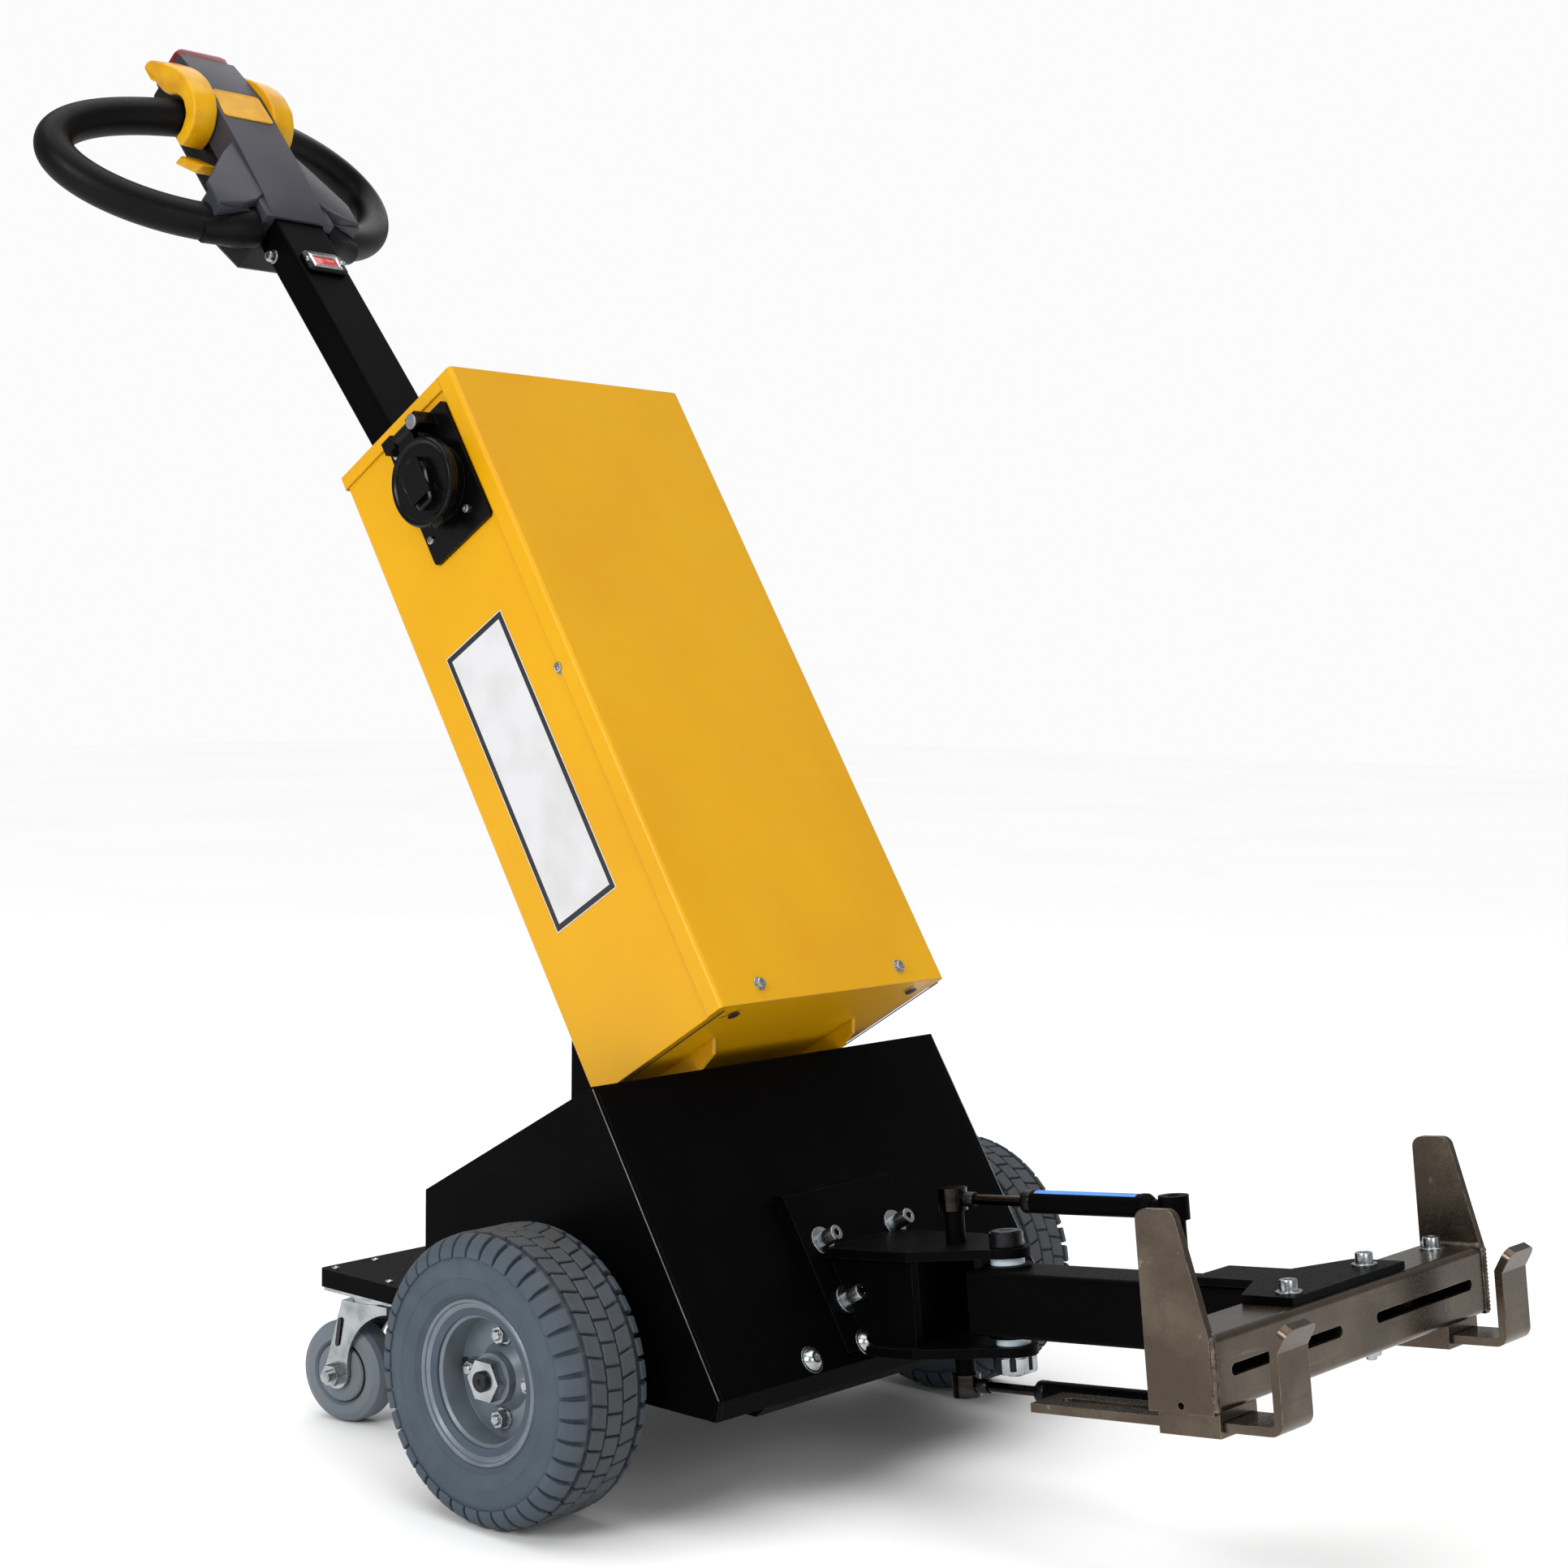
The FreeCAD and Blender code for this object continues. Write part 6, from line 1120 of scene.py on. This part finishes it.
class TUG_OT_inlet(TugOperator, bpy.types.Operator):
    """Models the charging inlet's screws, its hinge button and the lid's rim, grip and tab"""

    bl_idname = "tug.inlet"
    bl_label = "Charging inlet"

    def execute(self, context):
        screw = socket_screw("inlet_screw", 7.5, 2.6, 3.4, 1.2)
        holes = [on_side(x, -142.45, z) for x, z in ((-94.5, 587), (-43.2, 497.7), (-95.2, 499.3))]
        fit(screw, holes, "chassis", "zinc")
        section = [(0, 0), (6.6, 0), (6.6, 0.9), (5.8, 1.5), (4.4, 1.6), (4.0, 1.3), (0, 1.3)]
        button = turn("hinge_button", section, 28)
        fit(button, [on_side(-43.6, -164.25, 585.8)], "chassis", "black_plastic", cast_aluminium)
        lid = on_side(-61.5, -161.75, 536)
        edge = [
            (33, -0.5), (38.6, -0.5), (38.6, 0.7), (37.6, 1.9), (36.2, 2.1), (34.6, 1.5), (33, 0.2),
            (33, -0.5),
        ]
        fit(turn("lid_rim", edge, 64), [lid], "lid", "black_plastic")
        grip = [(-9, -24), (9, -24), (17, 4), (13, 14), (0, 24), (-13, 14), (-17, 4)]
        shield = trace("lid_grip", [(x, y, 0) for x, y in grip], closed=True)
        round_corners(3, 3)
        pull(0, 0, 6.6)
        heal()
        pick("FACE", lambda at, normal: normal.z > 0.9)
        inset(2.2, 1.4)
        inset(3.2, -1.6)
        fit(shield, [lid @ to(0, -1, -0.05)], "lid", "black_plastic", smooth=40)
        ear = [(-8, -38), (8, -38), (6, -44.5), (-6, -44.5)]
        tab = slab("lid_tab", [(x, y, 0) for x, y in ear], (0, 0, 4), 1.2)
        fit(tab, [lid @ to(0, 0, -2.25)], "lid", "black_plastic")
        return {"FINISHED"}


class TUG_OT_bracket_screws(TugOperator, bpy.types.Operator):
    """Models the hitch bracket's cap screws, dome screws and the hitch pin's socket and nut"""

    bl_idname = "tug.bracket_screws"
    bl_label = "Bracket screws"

    def execute(self, context):
        head = context.scene.tug_hardware.plate_screw / MM
        base, plate, low_row = -83.69, -93.69, -266.9
        tall = socket_screw("bracket_screw", head, 17, 6, 1.2, 24, 2.4)
        fit(tall, [ahead(BOX, base, y, z) for y in (-46, 46) for z in (-179.5, -230.3)], "chassis", "zinc")
        section = [
            (0, 3.4), (2.2, 3.4), (3.0, 5.8), (4.6, 6.0), (6.8, 4.6), (8.4, 2.2), (9.0, 0.8), (11, 0.7)
        ]
        dome = turn("bracket_dome_screw", section + [(11.2, 0), (0, 0)], 28)
        places = [
            ahead(BOX, face, sign * y, low_row) for face,
            y in ((base, 44), (plate, 100)) for sign in (-1, 1)
        ]
        fit(dome, places, "chassis", "zinc")
        cap = socket_screw("hitch_pin_socket", 24, 1.2, 10, 0.5)
        fit(cap, [HITCH @ to(0, 0, 53.2)], "chassis", "black_steel")
        nut = hex_bolt("hitch_pin_nut", 30, 12.5, 31, 2.5, 15)
        fit(nut, [HITCH @ to(0, 0, -42) @ facing("X", 180)], "chassis", "zinc")
        return {"FINISHED"}


class TUG_OT_spring_details(TugOperator, bpy.types.Operator):
    """Models the gas springs' end collars, wipers, rod sleeves and the blue band"""

    bl_idname = "tug.spring_details"
    bl_label = "Gas spring details"

    def execute(self, context):
        lip = [(4.1, -3), (7.4, -3), (8.8, -1.6), (9.25, 0), (9.25, 6), (8.9, 6.6), (4.1, 6.6), (4.1, -3)]
        neck = [(5, 0), (9.2, 0), (9.6, 0.6), (9.6, 5), (9.0, 6.4), (6.4, 10), (5, 10), (5, 0)]
        sheath = [(3.9, 0), (5.4, 0), (5.9, 0.6), (5.9, 9), (5.2, 10), (3.9, 10), (3.9, 0)]
        springs = {"upper": ahead(HITCH, 0, 0, 77.5), "lower": ahead(HITCH, 0, 0, -70)}
        for level, along in springs.items():
            tube, rod = f"gas_cylinder_{level}", f"gas_rod_{level}"
            wiper = turn(f"spring_wiper_{level}", lip, 28)
            fit(wiper, [along @ to(0, 0, 24)], tube, "black_powder_coat", moulded_black_plastic)
            collar = turn(f"spring_collar_{level}", neck, 28)
            fit(collar, [along @ to(0, 0, 131)], tube, "black_powder_coat")
            sleeve = turn(f"rod_sleeve_{level}", sheath, 24)
            fit(sleeve, [along @ to(0, 0, -37)], rod, "zinc", black_oxide_steel)
        stripe = trace("spring_band", [(9.12, 0, 34), (9.12, 0, 128)])
        bpy.ops.mesh.spin(steps=9, angle=radians(100), center=(0, 0, 0), axis=(0, 0, 1))
        heal()
        everything()
        bpy.ops.mesh.solidify(thickness=0.25)
        outward = springs["upper"] @ facing("Z", 215)
        fit(stripe, [outward], "gas_cylinder_upper", "black_powder_coat", blue_print)
        return {"FINISHED"}


class TUG_OT_beam_details(TugOperator, bpy.types.Operator):
    """Models the beam's screws, nuts and weld beads"""

    bl_idname = "tug.beam_details"
    bl_label = "Beam details"

    def execute(self, context):
        beam, tee = 25.4, 31.7
        through = ((290, -62), (284, 53))
        screw = socket_screw("tee_screw", 13, 8, 6, 1.1, 19, 1.8)
        fit(screw, [HITCH @ to(x, y, tee) for x, y in through], "arm", "zinc")
        clamp = socket_screw("clamp_screw", 13, 8, 6, 1.0, 19, 1.8)
        fit(clamp, [HITCH @ to(278, y, beam) for y in (-165, 165)], "arm", "zinc")
        under = hex_bolt("beam_nut", 13, 6.5, 18, 3, 8)
        fit(under, [HITCH @ to(x, y, -beam) @ facing("X", 180) for x, y in through], "arm", "zinc")
        radius, ripple, ripples = 2.2, 1.5, 32
        end = (ripples + 1) * ripple - 0.1
        bead = start("weld_bead", "circle", vertices=10, radius=radius, location=(0, 0, 0))
        steps = [(3.4 if count % 2 else 2.7, ripple * count) for count in range(1, ripples + 1)]
        flow(radius, 0, steps + [(2.0, end)])
        pick("EDGE", lambda at, along: abs(along.z) < 0.3 and (at.z < 0.1 or at.z > end - 0.1))
        bpy.ops.mesh.edge_face_add()
        heal()
        spots = []
        for sign in SIDES.values():
            spots += [ahead(HITCH, 258, sign * 185.9, 25.6), HITCH @ to(306.9, sign * 189, -24)]
        fit(bead, spots, "arm", "raw_steel", weld_metal, smooth=60)
        return {"FINISHED"}


class TUG_OT_caster_details(TugOperator, bpy.types.Operator):
    """Models the casters' ball races, wheel discs, fork slots and the platform's screws"""

    bl_idname = "tug.caster_details"
    bl_label = "Caster details"

    def execute(self, context):
        race_foot, platform, disc_face, leg_face = 111, 135.5, 14.6, 20.98
        race_section = [(17, 0), (24.4, 0), (25.2, 1), (25.2, 4.2), (24, 5.4), (17, 5.6), (17, 0)]
        disc_section = [
            (9, 0), (10, 0.9), (12, 1.2), (23, 0.9), (24.6, 0.1), (25.4, -1), (25.4, -2), (9, -2), (9, 0)
        ]
        heads = []
        for side in SIDES:
            swivel, roll = JOINTS[f"caster_{side}_swivel"], JOINTS[f"caster_{side}_roll"]
            crown, hub = (Vector(joint["pos_m"]) / MM for joint in (swivel, roll))
            race = turn(f"ball_race_{side}", race_section, 40)
            fit(race, [spot((crown.x, crown.y, race_foot))], "chassis", "zinc")
            axle = spot(hub) @ Vector(roll["axis"]).to_track_quat("Z", "Y").to_matrix().to_4x4()
            faces = [axle @ to(0, 0, disc_face), axle @ facing("X", 180) @ to(0, 0, disc_face)]
            fit(turn(f"caster_disc_{side}", disc_section, 40), faces, f"caster_wheel_{side}", "caster_grey")
            recess = slab(f"fork_slot_{side}", self.slot(), (0, -0.35, 0), 0.1, 1)
            fit(recess, both(spot(hub), to(0, -leg_face, 0)), swivel["child"], "zinc", valve_rubber)
            heads += [spot((crown.x + x, crown.y + y, platform)) for x in (-36, 36) for y in (-22, 22)]
        fit(socket_screw("platform_screw", 7, 1.4, 3, 0.9), heads, "chassis", "zinc")
        return {"FINISHED"}

    def slot(self):
        """The round-ended outline of a fork leg's slot, leaning forward above the axle."""
        radius, foot, top = 2.4, (6, 27), (9.5, 48)
        arcs = [(foot, pi + pi * step / 4) for step in range(5)] + [
            (top, pi * step / 4)
            for step in range(5)
        ]
        return [(x + radius * cos(turned), 0, z + radius * sin(turned)) for (x, z), turned in arcs]


class TUG_OT_stage(TugOperator, bpy.types.Operator):
    """Lays a pale floor, hangs soft studio lights and sets the camera"""

    bl_idname = "tug.stage"
    bl_label = "Stage"

    def execute(self, context):
        clear()
        bpy.ops.mesh.primitive_plane_add(size=30, location=(0, 0, 0))
        floor = context.object
        floor.name = floor.data.name = "studio_floor"
        open_all()
        bpy.ops.mesh.subdivide(number_cuts=1)
        clear()
        floor.data.materials.append(studio_paper())
        self.light("key_light", (0.5, -3.2, 1.9), (0.0, -0.1, 0.5), 1.2, 62)
        self.light("fill_light", (3.0, -1.4, 1.5), (0.1, 0.0, 0.4), 1.2, 22)
        self.light("back_light", (-1.9, 1.9, 2.7), (-0.1, 0.0, 0.7), 1.8, 14)
        clear()
        bpy.ops.object.light_add(type="SUN", location=(0, 0, 4))
        sun = context.object
        sun.name = "overhead_light"
        sun.data.energy = 2.1
        sun.data.angle = radians(70)
        self.air(context.scene)
        self.camera(context.scene)
        return {"FINISHED"}

    def light(self, name, where, target, size, power):
        """Hangs a soft square light that looks at a point."""
        clear()
        bpy.ops.object.light_add(type="AREA", location=where)
        lamp = bpy.context.object
        lamp.name = name
        lamp.data.size = size
        lamp.data.energy = power
        lamp.rotation_euler = (Vector(target) - Vector(where)).to_track_quat("-Z", "Y").to_euler()

    def air(self, scene):
        """A white world that lights the tug less than it shows behind it."""
        lit, seen = 0.4, 0.97
        sky = bpy.data.worlds.new("studio_air")
        sky.use_nodes = True
        tree = sky.node_tree
        back = tree.nodes["Background"]
        back.inputs["Color"].default_value = linear("#FFFFFF")
        ray = node(tree, "LightPath").outputs["Is Camera Ray"]
        level = node(tree, "MapRange", {3: lit, 4: seen}, {0: ray})
        tree.links.new(level.outputs[0], back.inputs["Strength"])
        scene.world = sky
        scene.view_settings.view_transform = "Standard"

    def camera(self, scene):
        """A camera ahead and to the right, turned by yaw, pitch and roll in radians."""
        place = Vector((AXLE.x + 1491.485, -1643.753, 667.327)) * MM
        yaw, pitch, roll = 0.72658, -0.04636, 0.01163
        bpy.ops.object.camera_add()
        camera = bpy.context.object
        camera.name = "studio_camera"
        camera.data.lens = 60.41
        camera.data.sensor_width = 36
        camera.data.clip_start = 0.05
        forward = Vector((-sin(yaw) * cos(pitch), cos(yaw) * cos(pitch), sin(pitch)))
        level = Vector((cos(yaw), sin(yaw), 0))
        upright = level.cross(forward)
        right = cos(roll) * level + sin(roll) * upright
        up = -sin(roll) * level + cos(roll) * upright
        turned = Matrix((right, up, -forward)).transposed().to_4x4()
        camera.matrix_world = Matrix.Translation(place) @ turned
        scene.camera = camera


OPERATORS = (
    TUG_OT_finishes,
    TUG_OT_tyres,
    TUG_OT_wheel_hardware,
    TUG_OT_head_controls,
    TUG_OT_moulded_edges,
    TUG_OT_handle_roots,
    TUG_OT_tiller_details,
    TUG_OT_box_label,
    TUG_OT_box_hardware,
    TUG_OT_inlet,
    TUG_OT_bracket_screws,
    TUG_OT_spring_details,
    TUG_OT_beam_details,
    TUG_OT_caster_details,
    TUG_OT_stage,
)
SETTINGS = {
    "tug_colours": TugColours,
    "tug_tread": TugTread,
    "tug_label": TugLabel,
    "tug_hardware": TugHardware,
}


class TUG_PT_sidebar(bpy.types.Panel):
    """The tug's sizes, colours and operators"""

    bl_idname = "TUG_PT_sidebar"
    bl_label = "Tow Tug"
    bl_space_type = "VIEW_3D"
    bl_region_type = "UI"
    bl_category = "Tow Tug"

    def draw(self, context):
        for group, kind in SETTINGS.items():
            box = self.layout.box()
            for size in kind.__annotations__:
                box.prop(getattr(context.scene, group), size)
        for operator in OPERATORS:
            self.layout.operator(operator.bl_idname)


def register():
    """Registers the tug's classes and puts its settings on the scene."""
    for kind in (*SETTINGS.values(), *OPERATORS, TUG_PT_sidebar):
        bpy.utils.register_class(kind)
    for group, kind in SETTINGS.items():
        setattr(bpy.types.Scene, group, PointerProperty(type=kind))


def unregister():
    """Takes the settings and classes away again."""
    for group in SETTINGS:
        delattr(bpy.types.Scene, group)
    for kind in reversed((*SETTINGS.values(), *OPERATORS, TUG_PT_sidebar)):
        bpy.utils.unregister_class(kind)


def main():
    """Registers the tug's classes and builds the whole model."""
    register()
    for operator in OPERATORS:
        group, action = operator.bl_idname.split(".")
        getattr(getattr(bpy.ops, group), action)()
    clear()


if __name__ == "__main__":
    main()
